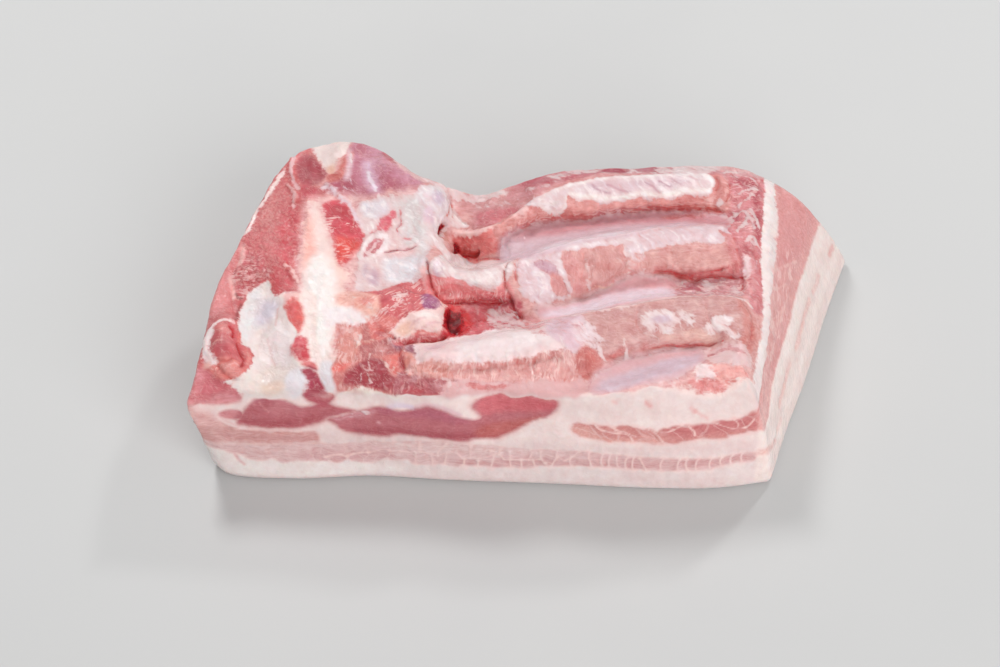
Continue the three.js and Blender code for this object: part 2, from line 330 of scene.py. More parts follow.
def step(across):
    """High on the left of the line, low on its right."""
    return across * np.exp(0.5 - 0.5 * across**2)


def ridge(across):
    """A low rounded cord."""
    return np.exp(-(across**2))


# Each kind of line: its section, how much of its length each end takes, and its share of the height there.
LINES = [(CREASES, groove, 0.15, 0.15), (STEPS, step, 0.12, 0), (CORDS, ridge, 0.1, 0)]
# How far from a line the relief still changes, in half widths.
LINE_REACH = 4


def relief(places):
    """Height to add to the rib side at each place."""
    flat = jittered(places[:, :2], places, WANDER)
    height = np.zeros(len(places))
    for lines, section, taper, least in LINES:
        for size, width, text in lines:
            line = curve(points(text))
            rows = near(flat, line, LINE_REACH * width)
            d, share = along(flat[rows], line)
            ends = rise(share, 0, taper) * rise(-share, -1, taper - 1)
            height[rows] += size * section(d / width) * (least + (1 - least) * ends)
    for size, x, y, rx, ry in LUMPS:
        r = ((flat[:, 0] - x) / rx) ** 2 + ((flat[:, 1] - y) / ry) ** 2
        height += size * np.exp(-1.2 * r)
    for size, text in ROUGH:
        outline = curve(points(text), closed=True, pieces=4)
        rows = near(flat, outline, 4)
        share = rise(inside(flat[rows], outline), -2, 2)
        here = places[rows]
        height[rows] += size * share * (0.7 * noise(here, 3.4, 8) + 0.6 * np.abs(noise(here, 2.0, 9)) - 0.25)
    height += 0.45 * noise(places, 11, 5) + 0.3 * noise(places, 5, 6) + 0.12 * noise(places, 2.6, 7)
    return height


# ---------------------------------------------------------------------------------------------------------
# Painting: where fat, lean and membrane lie
# ---------------------------------------------------------------------------------------------------------

# The fat field is 0.5 where fat meets lean. One unit of it is FAT_SCALE millimetres at a crisp edge, and more
# where an edge is softer than CRISP.
FAT_SCALE = 8.0
CRISP = 0.4
# How far from an outline the field is still painted.
REACH = 14.0
AMOUNTS = ("film", "deep", "cells", "grit", "flecks", "across", "slant", "smooth")
# The layer that each look's colour goes to.
LAYERS = {"lean": "lean", "tint": "lean", "fat": "fat", "tinge": "fat", "veil": "veil"}
# Light that the gloss adds to any colour, and the least that is left for the colour itself.
GLOSS = 0.022
DARKEST = 0.003


def matt(colour):
    """The colour to paint for a wet surface to have the given one."""
    return np.maximum(linear(colour) - GLOSS, DARKEST)


def oval(x, y, rx, ry):
    """An oval outline about (x, y)."""
    turn = np.linspace(0, 2 * math.pi, 12, endpoint=False)
    return np.stack([x + rx * np.cos(turn), y + ry * np.sin(turn)], 1)


class Band:
    """A line of the given half width."""

    def __init__(self, width, text):
        self.width = width
        self.line = curve(points(text))


class Paint:
    """What the meat is like at a set of places, painted on region by region.

    The ground is fat where depth is above 0, so many millimetres inside its edge, and lean where it is below.
    """

    def __init__(self, flat, lean, fat, depth):
        count = len(flat)
        self.flat = flat
        self.lean = np.tile(matt(lean), (count, 1))
        self.fat = np.tile(matt(fat), (count, 1))
        self.veil = np.tile(matt(MEMBRANE), (count, 1))
        self.field = np.full(count, 0.5 + depth / FAT_SCALE)
        self.amounts = {name: np.zeros(count) for name in AMOUNTS}

    def within(self, shape):
        """Which places are near a shape, and how far inside it each of them is."""
        if isinstance(shape, Band):
            rows = near(self.flat, shape.line, REACH + shape.width)
            return rows, shape.width - np.abs(along(self.flat[rows], shape.line)[0])
        outline = curve(points(shape), closed=True, pieces=4) if isinstance(shape, str) else shape
        rows = near(self.flat, outline, REACH)
        return rows, inside(self.flat[rows], outline)

    def add(self, looks, soft, shape):
        """Paints one shape. Its edge is soft over that many millimetres on either side.

        lean and fat say what is there and its colour, tint and tinge change only the colour of the lean or
        fat that is there, veil is the colour of the membrane over it, and the rest are amounts.
        """
        rows, depth = self.within(shape)
        share = rise(depth, -soft - 0.3, soft + 0.3)
        for look, value in looks.items():
            if look in AMOUNTS:
                self.amounts[look][rows] += (value - self.amounts[look][rows]) * share
                continue
            reach = share
            if look in ("lean", "fat"):
                field = 0.5 + depth * CRISP / (FAT_SCALE * max(soft, CRISP))
                kept = self.field[rows]
                self.field[rows] = np.maximum(kept, field) if look == "fat" else np.minimum(kept, 1 - field)
                reach = rise(depth, -soft - 1.2, -0.2)
            layer = getattr(self, LAYERS[look])
            layer[rows] += (matt(value) - layer[rows]) * reach[:, None]

    def add_all(self, regions):
        """Paints a table of regions, each (looks, softness, shape or shapes), one over the other."""
        for looks, soft, *shapes in regions:
            for shape in shapes:
                self.add(looks, soft, shape)


# Regions: (looks, softness of the edge, shapes), each over the ones before it. First the rib side's left,
# with the split breastbone and the pocket of fat.
LEFT_LOBE = [
    (dict(tint="#cb686a"), 5, "-150,80 -98,80 -97,40 -99,0 -104,-20 -110,-62 -150,-62"),
    (dict(grit=1), 4, "-112,66 -102,60 -102,10 -112,-4 -128,-4 -126,20 -120,44"),
    (dict(tint="#cb5359"), 3, "-109,34 -104,36 -100,26 -100,8 -104,0 -109,10"),
    (dict(tint="#c9585d"), 2, "-112,6 -106,8 -101,2 -99,-8 -103,-10 -109,-8"),
    (dict(tint="#c96e6d"), 3, "-118,46 -112,46 -110,32 -114,26 -120,30"),
    (dict(tint="#c76368", grit=1.6, flecks=0.5), 2, "-128,12 -118,13 -115,5 -119,-2 -124,-8 -128,-6"),
    (dict(tint="#cf7a7c", grit=0.2), 1.5, "-122,38 -125,24 -128,8 -127,-6 -126,-22 -142,-26 -138,0 "
     "-128,28"),
    (dict(tint="#d98081"), 1.5, "-127,22 -129.5,10 -130.5,0 -130,-12 -142,-14 -140,8 -132,24"),
    (dict(tint="#eeb6b2"), 0.8, Band(1, "-124.7,19 -126,11 -128.2,4.7 -128.7,-1.5 -127,-8")),
    (dict(fat="#f0d4d2"), 0.6, Band(0.9, "-109.5,58 -116,46 -120.8,35.5 -123.6,27 -126.5,24")),
    # The far corner: dark lean, cream fat and the purple muscle, with painted highlights along it.
    (dict(tint="#ac454f"), 1, "-103.5,60 -102,66 -98,66 -94,61 -91,56 -90,52 -93,49 -98,48.5 -102,51"),
    (dict(tint="#bb4952"), 1.5, "-101,48 -94,47 -89,45 -90,41 -95,40 -100,40"),
    (dict(tint="#d9767b"), 2, oval(-96, 39, 3, 2)),
    (dict(fat="#e4b8ba"), 0.5, Band(0.8, "-105.2,65 -106,58 -104.8,52 -102.7,46.5")),
    (dict(fat="#e6b2b2"), 0.5, Band(0.6, "-107.3,50 -105,47 -103.8,43 -104,36")),
    (dict(fat="#ecd6d2"), 0.8, "-98,73 -94,75 -83,74 -80.5,68 -82,62.5 -85.5,58 -87,53 -89.5,53.5 -91.5,58 "
     "-95.5,66"),
    (dict(tinge="#e8b8a6"), 1.2, oval(-88, 54, 2.5, 3)),
    (dict(lean="#b76371"), 0.8, "-91,47 -86,43 -81,39 -76.6,38.2 -72,40 -66,42 -62,46 -58,45 -52.4,46.6 "
     "-50,50 -54,58 -62,66 -74,69 -79,64 -80,57 -84,50"),
    (dict(tint="#c17c8b"), 2, "-78,46 -72,43 -62,47 -54,46 -48,50 -54,62 -66,70 -80,68"),
    (dict(tint="#c98e9d"), 2, "-68,56 -56,48 -50,49 -54,58 -62,66 -72,68"),
    (dict(lean="#cd736e"), 0.9, Band(1, "-80.3,61 -81.5,56 -84,52 -88,50.5")),
    # The membrane's white edge, whiter where it glints: part its own colour, part painted highlight.
    (dict(tint="#deb8c0"), 1.2, Band(1.2, "-80.6,63 -79.7,58 -80.4,54 -81,50")),
    (dict(film=0.75, veil="#f0e0e2"), 0.8, Band(0.5, "-79.6,61 -79.4,57 -80.5,53")),
    # Painted highlight: a soft pale glow and a bright streak along the muscle's ridge.
    (dict(tint="#d4acc0"), 2.2, Band(2.2, "-72,56 -71,51 -69.4,46 -66.6,41")),
    (dict(film=0.8, veil="#f0e4ec"), 1, Band(0.8, "-71.6,52.4 -69.8,47.3 -68,43.7")),
    (dict(film=0.75, veil="#f0e4ec"), 1, Band(0.8, "-66.4,41 -65,38.6 -64.6,36")),
    (dict(film=0.6, veil="#e2c6d0"), 0.8, Band(0.5, "-85,47 -80,45 -75,43.4")),
    (dict(film=0.5, veil="#debeca"), 0.7, Band(0.4, "-79.6,49 -77.6,45 -76,41")),
    (dict(tint="#bb5f67"), 1, "-66,66 -62,68 -56,62 -57,58 -61,56 -65,60"),
    (dict(fat="#deb2b2"), 0.9, "-58,54 -60,62 -52,64 -42,60 -46,53"),
    (dict(fat="#e2c8ce"), 1.2, Band(1, "-91.2,46.3 -86.8,44.4 -83.2,40.3 -79.6,37.3 -76.9,32.5 "
     "-73.2,26.7")),
    # Bone scars along the breastbone: two ovals of marrow red.
    (dict(tint="#e8b6b4"), 4, "-96,40 -74,40 -70,20 -72,0 -66,-20 -84,-24 -99,-10 -99,20"),
    (dict(fat="#f2d6d1", smooth=0.85), 2.5, "-95,38 -97,30 -99,18 -99,4 -99,-8 -97,-16 -97,-28 -95,-36 "
     "-93,-45 -90,-54 -84,-58 -79,-54 -81,-46 -84,-38 -83,-27 -76,-22 -68,-21 -70,-17 -78,-16 -80,-8 -79,0 "
     "-84,8 -88,20 -91,32"),
    (dict(tinge="#f7b8ae"), 2.5, "-99,30 -96,30 -94,18 -94,6 -99,4"),
    (dict(tinge="#f2cec6"), 3, "-88,10 -82,8 -78,0 -78,-14 -84,-16 -86,-4"),
    (dict(tinge="#f4eae7"), 3, "-96,6 -88,8 -84,-4 -84,-20 -87,-46 -92,-44 -95,-20"),
    (dict(lean="#d15a63"), 1.4, "-90,36 -86,38.5 -82,38 -79,34 -77,29 -73,24 -75,19 -78,16 -80,10 -83,6 "
     "-85,10 -84,17 -87,22 -90,29"),
    (dict(tint="#c34d57"), 2, "-90,36 -84,38 -79,34 -76,28 -82,28 -89,30"),
    (dict(tint="#e05d57"), 2, "-84,20 -77,20 -75,17 -79,11 -83,7 -85,14"),
    (dict(flecks=1), 1.5, "-88,30 -80,29 -76,25 -80,22 -88,24"),
    (dict(flecks=0.7), 1.5, "-84,16 -78,14 -82,6 -86,8"),
    (dict(fat="#f7e2dd", smooth=0.8), 1.2, "-108,-9 -99,-9 -93,-12 -92,-30 -89,-46 -97,-47 -104,-42 "
     "-104,-34 -102,-29 -104,-24 -107,-17"),
    (dict(lean="#de6e6a", smooth=0.7), 1.3, "-104,-12 -102,-11 -99.5,-13 -97,-17 -96.6,-22 -96.6,-26 "
     "-98,-29.4 -99.6,-28.6 -102,-25 -104,-20 -105.6,-16"),
    (dict(tint="#d96161"), 2, oval(-101.5, -18, 2, 4)),
    (dict(fat="#f4c4c0"), 0.6, Band(0.5, "-106,-11.4 -103.4,-10 -100.6,-11")),
    (dict(lean="#d55d65", smooth=0.4), 1.2, "-101,-34 -100,-31.4 -97,-31 -94.6,-33.6 -93.6,-37 -92.8,-41 "
     "-94,-43.4 -96,-44 -98,-42 -101,-39 -102,-36"),
    (dict(tint="#c74954"), 1.5, oval(-97.4, -37.4, 2.2, 3.6)),
    (dict(tint="#e18083"), 0.5, Band(0.3, "-101,-35 -98.6,-34.2 -96.4,-34.6"),
     Band(0.3, "-101,-37.4 -98,-36.6 -95.6,-37.4")),
    (dict(tinge="#f0aca8"), 1.6, "-103,-40 -99.6,-42 -97,-45 -101,-46.4 -104,-44"),
    (dict(lean="#e08383"), 0.9, "-96.6,-44.4 -93,-43 -90.6,-45 -89.6,-48.4 -93,-47"),
    # The pocket of fat, with the clump of meat outside it.
    (dict(tint="#bd585d", grit=1.6, flecks=0.5), 1.2, "-128,8 -113,5 -113,1 -116,-0.6 -121,-7 -124,-10 "
     "-125,-7 -127,-3 -128.6,2"),
    (dict(tint="#7a3b3c"), 0.5, Band(0.5, "-126.4,-6.4 -125.4,-8 -124,-8.6")),
    (dict(tint="#874545"), 0.6, Band(0.35, "-124,-12 -125,-16 -125.6,-21")),
    (dict(fat="#eadad7"), 0.6, "-113,-0.6 -115,-0.8 -118,-2.4 -121,-6 -123,-11 -124,-15 -124.6,-20 "
     "-124.6,-24 -124,-27 -123,-31 -121.6,-34 -119,-34.4 -117.6,-37 -117.6,-41 -119,-45 -122,-49 "
     "-125.6,-51 -129,-52 -125,-54 -120,-57 -112,-60 -97,-60 -97,-47 -100,-42 -102,-38 -101.6,-34 "
     "-99.6,-30.4 -99,-28.6 -102,-24 -105,-18 -106,-14 -107,-11 -110,-8 -111.6,-5 -112,-2"),
    (dict(tinge="#e5dddd", grit=0.8), 2, "-120,-5 -116,-3 -116,-12 -117,-24 -121,-30 -124,-26 -123,-14"),
    (dict(tinge="#d6cad4"), 2.5, "-115,-9 -109,-12 -108,-15 -112,-22 -116.6,-22 -117,-15"),
    (dict(tinge="#eedede", smooth=0.6), 2.5, "-110,-24 -104,-26 -101,-34 -103,-44 -111,-40"),
    (dict(tinge="#e7d7d1"), 2.5, "-122,-49 -112,-42 -103,-46 -103,-57 -114,-58"),
    (dict(tinge="#e1c5b8"), 1.8, "-113,-52 -106,-51 -103,-53 -106,-56 -112,-56"),
    (dict(tinge="#e0b2b0"), 0.5, Band(0.25, "-108,-16 -108.4,-20 -108.2,-24")),
    (dict(tinge="#e2bebc"), 0.6, Band(0.3, "-112,-30 -110.6,-36 -108,-42")),
    (dict(lean="#ca686b", smooth=0.5), 0.7, "-130,-23.6 -132,-24.4 -134,-27 -135,-31 -134.6,-36 -134,-39 "
     "-132,-42 -129,-43 -126,-42.4 -124,-40 -122,-41.4 -121.4,-44 -121,-46 -119,-43 -117.8,-39 -118,-36 "
     "-120,-34.2 -123,-32.4 -123,-29 -124,-26.6 -126,-24"),
    (dict(lean="#dc827d", smooth=0.4), 0.8, "-132,-43 -134,-45.6 -134.6,-47.6 -133,-50 -130,-51.4 "
     "-127,-51.4 -125,-50 -122,-49 -120.6,-46.6 -123,-44 -127,-42.6"),
    (dict(tint="#bd5a61"), 1.8, oval(-130.4, -36.6, 3.2, 3.4)),
    (dict(tint="#d9807d"), 1.6, oval(-131, -26.6, 2.4, 2.2)),
    (dict(tint="#dc807b"), 1.2, "-121,-34.6 -118.4,-36 -118,-39 -119.4,-44 -120.4,-40"),
    (dict(tint="#dc736f"), 1, oval(-123.6, -30, 0.9, 3)),
    (dict(tint="#e8aaa6"), 0.5, Band(0.3, "-133.6,-34.6 -132,-33.6 -130.6,-34.2")),
    (dict(tint="#ecb0aa"), 0.5, Band(0.3, "-127,-45 -124.6,-44.2 -123,-45")),
    # Painted shade: darker red along the clump's two creases.
    (dict(tint="#c53740"), 0.6, Band(0.7, "-128,-26 -126.4,-28 -126,-30.6")),
    (dict(tint="#b53b40"), 0.7, Band(0.4, "-124.4,-33 -122.8,-37 -121.2,-40 -121.4,-43 -122.4,-45.6")),
    (dict(fat="#f5d8d6"), 0.6, Band(0.8, "-126.6,-23 -129,-22.4 -132,-23 -134.4,-25 -136,-28")),
    (dict(fat="#f6e0e0"), 0.8, Band(1.7, "-135.8,-28 -136.6,-31 -137,-34 -136.8,-37.6 -135.2,-40.6 "
     "-133.6,-42.4")),
    (dict(lean="#cd7178"), 1.2, "-150,-44 -139,-45 -134,-49.4 -130,-52 -123,-55.4 -120,-58 -120,-64 "
     "-150,-64"),
    (dict(tint="#d7868b"), 1.5, "-150,-44 -139,-45 -137,-50 -141,-60 -150,-60"),
    (dict(tinge="#e6aea6", tint="#e6aea6"), 1, oval(-136, -43.6, 1.6, 1.6)),
    (dict(fat="#e3d9dd", smooth=1), 1.8, oval(-98, -52, 3.8, 4.8)),
    (dict(fat="#e5dadd", smooth=0.8), 1.5, "-87.4,-46 -83,-45 -79.4,-48 -78.6,-53 -80,-57.4 -84,-58.4 "
     "-87,-56"),
    (dict(fat="#e5dade", smooth=1), 1.8, oval(-83.2, -52.6, 4.2, 4.8)),
    (dict(lean="#ac4958"), 0.8, "-96.5,-47.6 -93,-46.8 -90.6,-49 -88.8,-52 -86.8,-56 -88,-57.6 -93,-58.6 "
     "-97.6,-58.8 -96.4,-57.6 -94,-56.6 -93.6,-53"),
    (dict(fat="#eec0bc"), 0.6, Band(0.7, "-106,5.6 -103.5,4.6 -101.3,1 -100,-3")),
]

# The rib side's middle, from the breastbone's branch to the bridge and the block.
MIDDLE = [
    # Streaky lean in front of the breastbone's branch, and the dark chunk beside it.
    (dict(lean="#d38783"), 1, "-83,-25 -72,-22 -60,-27 -54,-30 -48,-33 -48,-44 -50,-49 -31,-52 -31,-60 "
     "-60,-60 -80,-58 -83.6,-49 -83,-46 -82,-41 -81,-35 -80.6,-30"),
    (dict(film=0.15, flecks=0.25), 2, "-84,-24 -56,-28 -48,-34 -50,-48 -30,-52 -30,-60 -80,-60"),
    (dict(tint="#d99088", flecks=0.5), 1.2, "-81,-26 -79,-25 -76,-27 -72,-27 -73,-32 -73,-36 -74,-40 "
     "-75,-43 -76,-45 -79,-48 -82,-49 -83,-46 -82,-41 -81,-35 -80,-30"),
    (dict(tint="#de736d"), 1, "-83,-45.4 -79,-45 -76,-45.4 -79,-48.6 -83.4,-49.4"),
    (dict(tint="#eabab6"), 1, oval(-79.4, -28.4, 1.2, 2.2)),
    (dict(tint="#be6f6d"), 0.8, "-69,-24 -68,-26 -67,-29 -68,-32 -71,-33 -72.4,-30 -71,-26"),
    (dict(film=0.75, veil="#e8d0ca"), 0.6, Band(0.4, "-72.4,-28 -73.2,-33 -74,-38")),
    (dict(tint="#ba6b6b"), 1, "-73,-36.6 -70,-34.6 -64,-31 -60,-29 -57,-29 -57,-37 -60,-41 -64,-40 -67,-40 "
     "-68,-44 -71,-43"),
    (dict(tint="#ca8583"), 1, oval(-64, -36, 2.6, 3)),
    (dict(film=0.5, veil="#ecc0aa"), 0.6, Band(0.45, "-74,-38 -72.4,-34.4 -69,-32.6 -64.6,-31")),
    (dict(film=0.5, veil="#eac2b4"), 0.6, Band(0.4, "-70.4,-36.6 -69,-40 -68.6,-44")),
    (dict(tint="#de7973"), 0.9, "-62.6,-41 -58,-38.6 -55,-37 -56,-42 -57,-48.4 -60.4,-47"),
    (dict(tint="#965c6d", grit=1.4, flecks=0.5), 0.8, "-60.6,-31 -59,-28 -56,-27 -54,-30 -55,-35 -57,-37 "
     "-59,-35"),
    (dict(tint="#9e606f", grit=1.2, flecks=0.3), 0.7, "-53.4,-32.6 -50,-33.6 -48.4,-37 -48,-43 -49.4,-44 "
     "-51,-40 -54,-36"),
    (dict(tint="#a64850", flecks=0, film=0.05), 1, "-78.4,-54 -78,-50 -75,-47 -73,-45 -70,-43.4 -66,-42.4 "
     "-62,-44 -60,-49 -57,-52 -59,-56 -62,-57 -66,-56.4 -69,-55.4 -74,-54.6"),
    (dict(tint="#b6585e"), 0.9, oval(-69, -50, 2, 3)),
    (dict(film=0.8, veil="#eac8c6"), 0.5, Band(0.3, "-68,-40 -68.4,-44 -67.8,-48")),
    (dict(film=0.8, veil="#e4bebe"), 0.5, Band(0.35, "-70.6,-47.4 -69,-48.6 -66.6,-48.8")),
    (dict(film=0.7, veil="#e0b6b6"), 0.5, Band(0.25, "-72,-50 -72.2,-53"), Band(0.25, "-69,-50 "
     "-67.4,-53.6"), Band(0.25, "-62.6,-50.6 -62.4,-54")),
    (dict(film=0.6, veil="#ecbeb0"), 0.6, Band(0.35, "-63.4,-42.4 -61,-46.6 -59.4,-48.4 -58,-46")),
    (dict(tint="#b6656b", lean="#b6656b"), 1, "-55,-49.6 -51,-48.4 -47,-49 -43,-51 -39,-52.4 -31,-52.4 "
     "-30.6,-56 -30,-61 -41,-61.6 -51,-60 -57,-58.6 -58,-55"),
    (dict(tint="#ca8e91"), 1.1, oval(-48, -51.6, 3.2, 1.3)),
    (dict(tint="#ca8e92"), 1.3, oval(-38, -56, 3.8, 2.2)),
    (dict(tint="#a24e58"), 0.9, oval(-33.8, -54, 2.2, 1.5)),
    (dict(tint="#bc5a60"), 1.2, oval(-50, -57.4, 5, 1.4)),
    (dict(film=0.7, veil="#e2bebe"), 0.6, Band(0.3, "-42,-54 -39,-52.6 -35.6,-53.4 -35,-57")),
    # Painted shade: the slit beside the torn lean, dark red with a little blood.
    (dict(tint="#b04248", deep=0.2), 0.7, "-55,-38 -54,-42 -52.8,-47 -53.6,-49.4 -55,-47 -56.4,-42"),
    (dict(lean="#e2988e", tint="#e2988e", deep=0, flecks=0, smooth=0.6), 0.5, "-52.8,-39 -51,-40.4 -50,-44 "
     "-49,-47.6 -50.4,-49.4 -52,-48 -52.8,-43.6"),
    (dict(fat="#ecddd5"), 1, "-85,-59 -81,-57.4 -76,-56 -72,-54.8 -69,-55.8 -63,-57.6 -58,-59 -50,-62 "
     "-60,-64 -85,-64"),
    (dict(tinge="#ce7c78"), 0.8, Band(0.6, "-77,-57.4 -74,-57 -71,-57.4")),
    # The smooth membrane between the breastbone and the fold.
    (dict(tint="#e2b4b4"), 2, "-80,40 -68,42 -50,48 -34,56 -34,40 -44,20 -46,2 -62,-4 -75,-10 -76,8 "
     "-72,22"),
    (dict(film=0.9, veil="#e6cccc"), 2, "-76,38 -72,39 -66,41 -58,44 -50,46 -44,53 -36,56 -34,40 -44,18 "
     "-48,2 -60,-4 -74,-8 -75,8 -73,20 -75,28"),
    (dict(veil="#ded4d4"), 3, "-61,40 -51,45 -47,35 -45,22 -47,12 -54,20 -57,26 -57,34"),
    (dict(veil="#ded6db"), 2.5, "-63,12 -54,15 -47,12 -49,3 -58,-1 -64,2"),
    (dict(film=1, veil="#e2d8de"), 1.2, "-74,39 -70,38.5 -64,40 -63,35 -66,32 -71,32 -74,34"),
    (dict(veil="#eac4c4"), 2.5, "-64,18 -56,19 -50,21 -52,15 -62,13"),
    (dict(veil="#d0b0bc"), 1.2, oval(-68, 1, 2.2, 4.4)),
    (dict(veil="#d2b6c0"), 1.2, oval(-71.5, 4.5, 1.2, 3)),
    (dict(film=0.2, tint="#dc6d79"), 1.3, "-68,28.5 -65,33 -61,37 -59.6,35 -61,30 -63.6,24.5 -66,26"),
    (dict(film=0.3, tint="#dc7f85"), 0.8, Band(0.8, "-70,24 -67,26.5 -64,30"),
     Band(0.4, "-58,37 -57,31.4 -58.6,28 -57.3,24.2 -53,24.6")),
    (dict(film=1, veil="#eedcdc"), 0.6, "-75,10 -74,17 -69.5,22.6 -63,24.5 -63,17 -68,11"),
    (dict(film=0.15, tint="#ce7d84"), 1, "-73.2,11 -72.5,16 -68.4,21 -64.6,22.4 -65.4,17.4 -69.4,12.6"),
    (dict(film=0.9, veil="#e8bec0"), 0.6, Band(0.5, "-71.6,12.6 -69,16.5 -66.4,20.4")),
    (dict(film=0.25, tint="#c2878e"), 0.6, Band(0.5, "-64,14.6 -60,17.4 -56.3,18.2 -50.3,19.8")),
    # The glossy lobe over the fold, and the flap behind it.
    (dict(film=0.95, veil="#e6d8db"), 1.5, "-51,45.6 -45,52.4 -39.6,54 -35.6,47 -38,37.5 -42.7,28.8 "
     "-46.2,34"),
    # Painted shade: lilac on the lobe's sides.
    (dict(veil="#ceb8ca"), 1.5, oval(-42.5, 45.5, 1.8, 4.4)),
    (dict(veil="#dec2ce"), 1.5, oval(-45.5, 35, 2.2, 4)),
    (dict(film=0.95, veil="#ead4d3"), 0.9, "-37,56 -34.2,46.4 -28,37.6 -32.4,36.6 -36.4,38 -37,46 -39,54"),
    (dict(film=0.3, tint="#da928a"), 0.5, Band(0.4, "-38.6,54 -36.8,47 -37.4,41 -38.6,37.4")),
    (dict(film=0.3, tint="#dc9892"), 0.5, Band(0.35, "-35.6,52 -34.6,45 -34.8,40")),
    # The lean piece with diagonal fibres, and the ragged blob beside it.
    (dict(lean="#d0696c"), 1, "-79,-15 -74,-10 -66,-8 -60,-5 -55,0.5 -50,1.5 -47,-3 -46.4,-10 -46,-13.6 "
     "-47,-16 -50,-18 -56,-20.4 -60,-20.4 -63,-20 -70,-18"),
    (dict(film=0.15), 1, "-79,-15 -66,-8 -55,0 -47,-3 -45,-14 -56,-20 -70,-17"),
    (dict(slant=1), 2, "-86,-16 -66,-6 -52,4 -43,-2 -43,-14 -56,-22 -58,-30 -70,-30 -70,-18"),
    (dict(flecks=0.85), 1.5, "-72,-11 -60,-7 -50,0 -47,-4 -47,-14 -56,-19 -66,-18"),
    (dict(tint="#c25860"), 1, Band(1, "-64,-14 -58,-10 -52,-6")),
    (dict(film=0.6, veil="#eec6c2"), 0.6, Band(0.3, "-70,-16 -61,-11.5 -53,-8"),
     Band(0.3, "-64,-18 -56,-14.6 -50,-12")),
    (dict(lean="#eab0a4", flecks=0.4, film=0.2), 1.8, "-84,-11 -75,-10 -68,-12 -66,-16 -67,-20 -69,-21 "
     "-73,-19 -77,-18 -81,-17"),
    (dict(tint="#e0908a"), 1.2, oval(-70, -14, 3, 2)),
    (dict(fat="#f2e4e4", smooth=0.8), 1.2, "-87,-19 -79,-18.8 -74,-19.4 -70.6,-21.4 -71,-24 -76,-25 "
     "-81,-25.4 -87,-26"),
    (dict(lean="#dc837f", flecks=0.3), 1, "-68,-22 -64,-20.6 -59,-21.6 -57,-23 -59,-28 -64,-30 -67,-30 "
     "-68,-26"),
    (dict(tint="#c26b6d"), 1, oval(-63.6, -28.4, 2.6, 1.4)),
    (dict(fat="#f0cfcb", grit=0.8), 0.9, "-59.6,-26.6 -57,-22 -52,-18 -46,-15.6 -42,-13.6 -39,-12.6 "
     "-35,-13 -36,-21 -39,-26 -43,-27.4 -48,-27.4 -52,-28.4 -56,-29.4"),
    (dict(tinge="#ecbeae"), 1.2, "-58,-26 -54,-22 -50,-24.4 -54,-28"),
    (dict(tinge="#f6e2de"), 1.8, oval(-44.6, -19, 5, 2.4)),
    (dict(tinge="#e2b4b6"), 0.6, Band(0.3, "-52,-25 -49,-22 -46,-21"), Band(0.3, "-47,-25.6 -43,-23.4 "
     "-39,-22")),
    (dict(lean="#e48c88", flecks=0.3), 0.8, "-50,-26.4 -43,-27 -41.6,-29.6 -45,-31 -48,-30 -52,-31 "
     "-53,-30"),
    (dict(lean="#a66387"), 0.7, "-46,-6.8 -40.4,-7 -40,-13 -44,-15.4 -46.4,-13.6"),
    (dict(tint="#b47392"), 0.7, oval(-43.4, -10.4, 1.4, 1.6)),
    (dict(fat="#f4d3cb"), 0.6, "-39.4,-8.6 -37,-8.4 -34,-10.6 -34.6,-14 -38,-14.4 -39.4,-13"),
    (dict(lean="#ca5e63"), 0.7, Band(1.2, "-57,-32 -50,-30.5 -45,-30.5 -40,-31 -36,-28 -31,-28")),
    # The fold and the flap in the far slit.
    (dict(tint="#d09494"), 2.5, "-36,56 -20,56 0,57 2,46 -4,38 -24,34 -28,42"),
    (dict(tint="#ca757b"), 2.5, "-24,44 -8,45 -4,40 -12,34 -24,35"),
    (dict(film=0.72), 1.5, "-50,56 -34,58 -14,58 -12,54 -26,51 -38,52"),
    (dict(film=0.5), 2, oval(-16, 49, 9, 2)),
    (dict(lean="#de7d79"), 0.8, "-33,34 -24,32 -16,32 -8,36 -2,41 8,42 8,40 -2,36 -9,29 -17,24 -25,24 "
     "-32,28"),
    (dict(tint="#d6706c"), 1.5, "-31,31 -24,30 -20,27 -24,24.5 -29,25"),
    (dict(fat="#f0c6c2"), 0.7, Band(1.3, "-33.3,34.4 -28,33.4 -22,31.8 -16,33.8 -10,37 -3,41.6")),
    # The bridge across to the second strip.
    (dict(lean="#e68a8c"), 0.8, "-45,1.5 -40,3 -34,1 -28,-2 -22,-5 -12,-2 -9.5,-8 -18,-9 -26,-8 -33,-9 "
     "-39,-9 -43,-5"),
    (dict(film=0.97), 1.2, "-46,4 -42,10 -38,18 -30,23.5 -22,20 -12,17 -8,10 -9,2 -14,-3 -20,-5 -26,-2 "
     "-31,1 -37,2.5 -43,2.5"),
    (dict(veil="#e9d5d5"), 1.5, "-46,4 -42,10 -38,18 -30,23.5 -22,20 -12,17 -8,10 -9,2 -14,-4 -26,-2 "
     "-37,2"),
    (dict(film=0.97), 1, Band(2.6, "-40,20 -42,26 -43,34")),
    # Painted shade: lilac-grey at the bridge's left end.
    (dict(veil="#d4b8c4"), 1.2, oval(-41, 5.5, 2, 3.4)),
    # Blood and painted shade in the slits round the bridge.
    (dict(deep=0.6), 0.5, Band(0.5, "-46,9 -44.9,3 -42.4,-2 -38.9,-5.6 -35,-7.6")),
    (dict(deep=0.45), 0.8, Band(0.7, "-38,-8 -33,-8.5 -26,-8 -18,-9.5 -10,-9")),
    (dict(film=0.2, tint="#ca817f"), 0.6, Band(0.7, "-11,7.5 -12.3,2 -12.2,-1 -10.6,-5"),
     Band(0.6, "-6,7 -7.4,3.6 -7.2,0")),
    (dict(flecks=0.6, grit=1, across=1), 1, "-44,0 -39,2 -33,0 -22,-5 -12,-2 -9.5,-8 -18,-9 -26,-8 -33,-9 "
     "-39,-9"),
    # The hollow under it, with blood and painted shade, darkest deep inside, and the pale block in front.
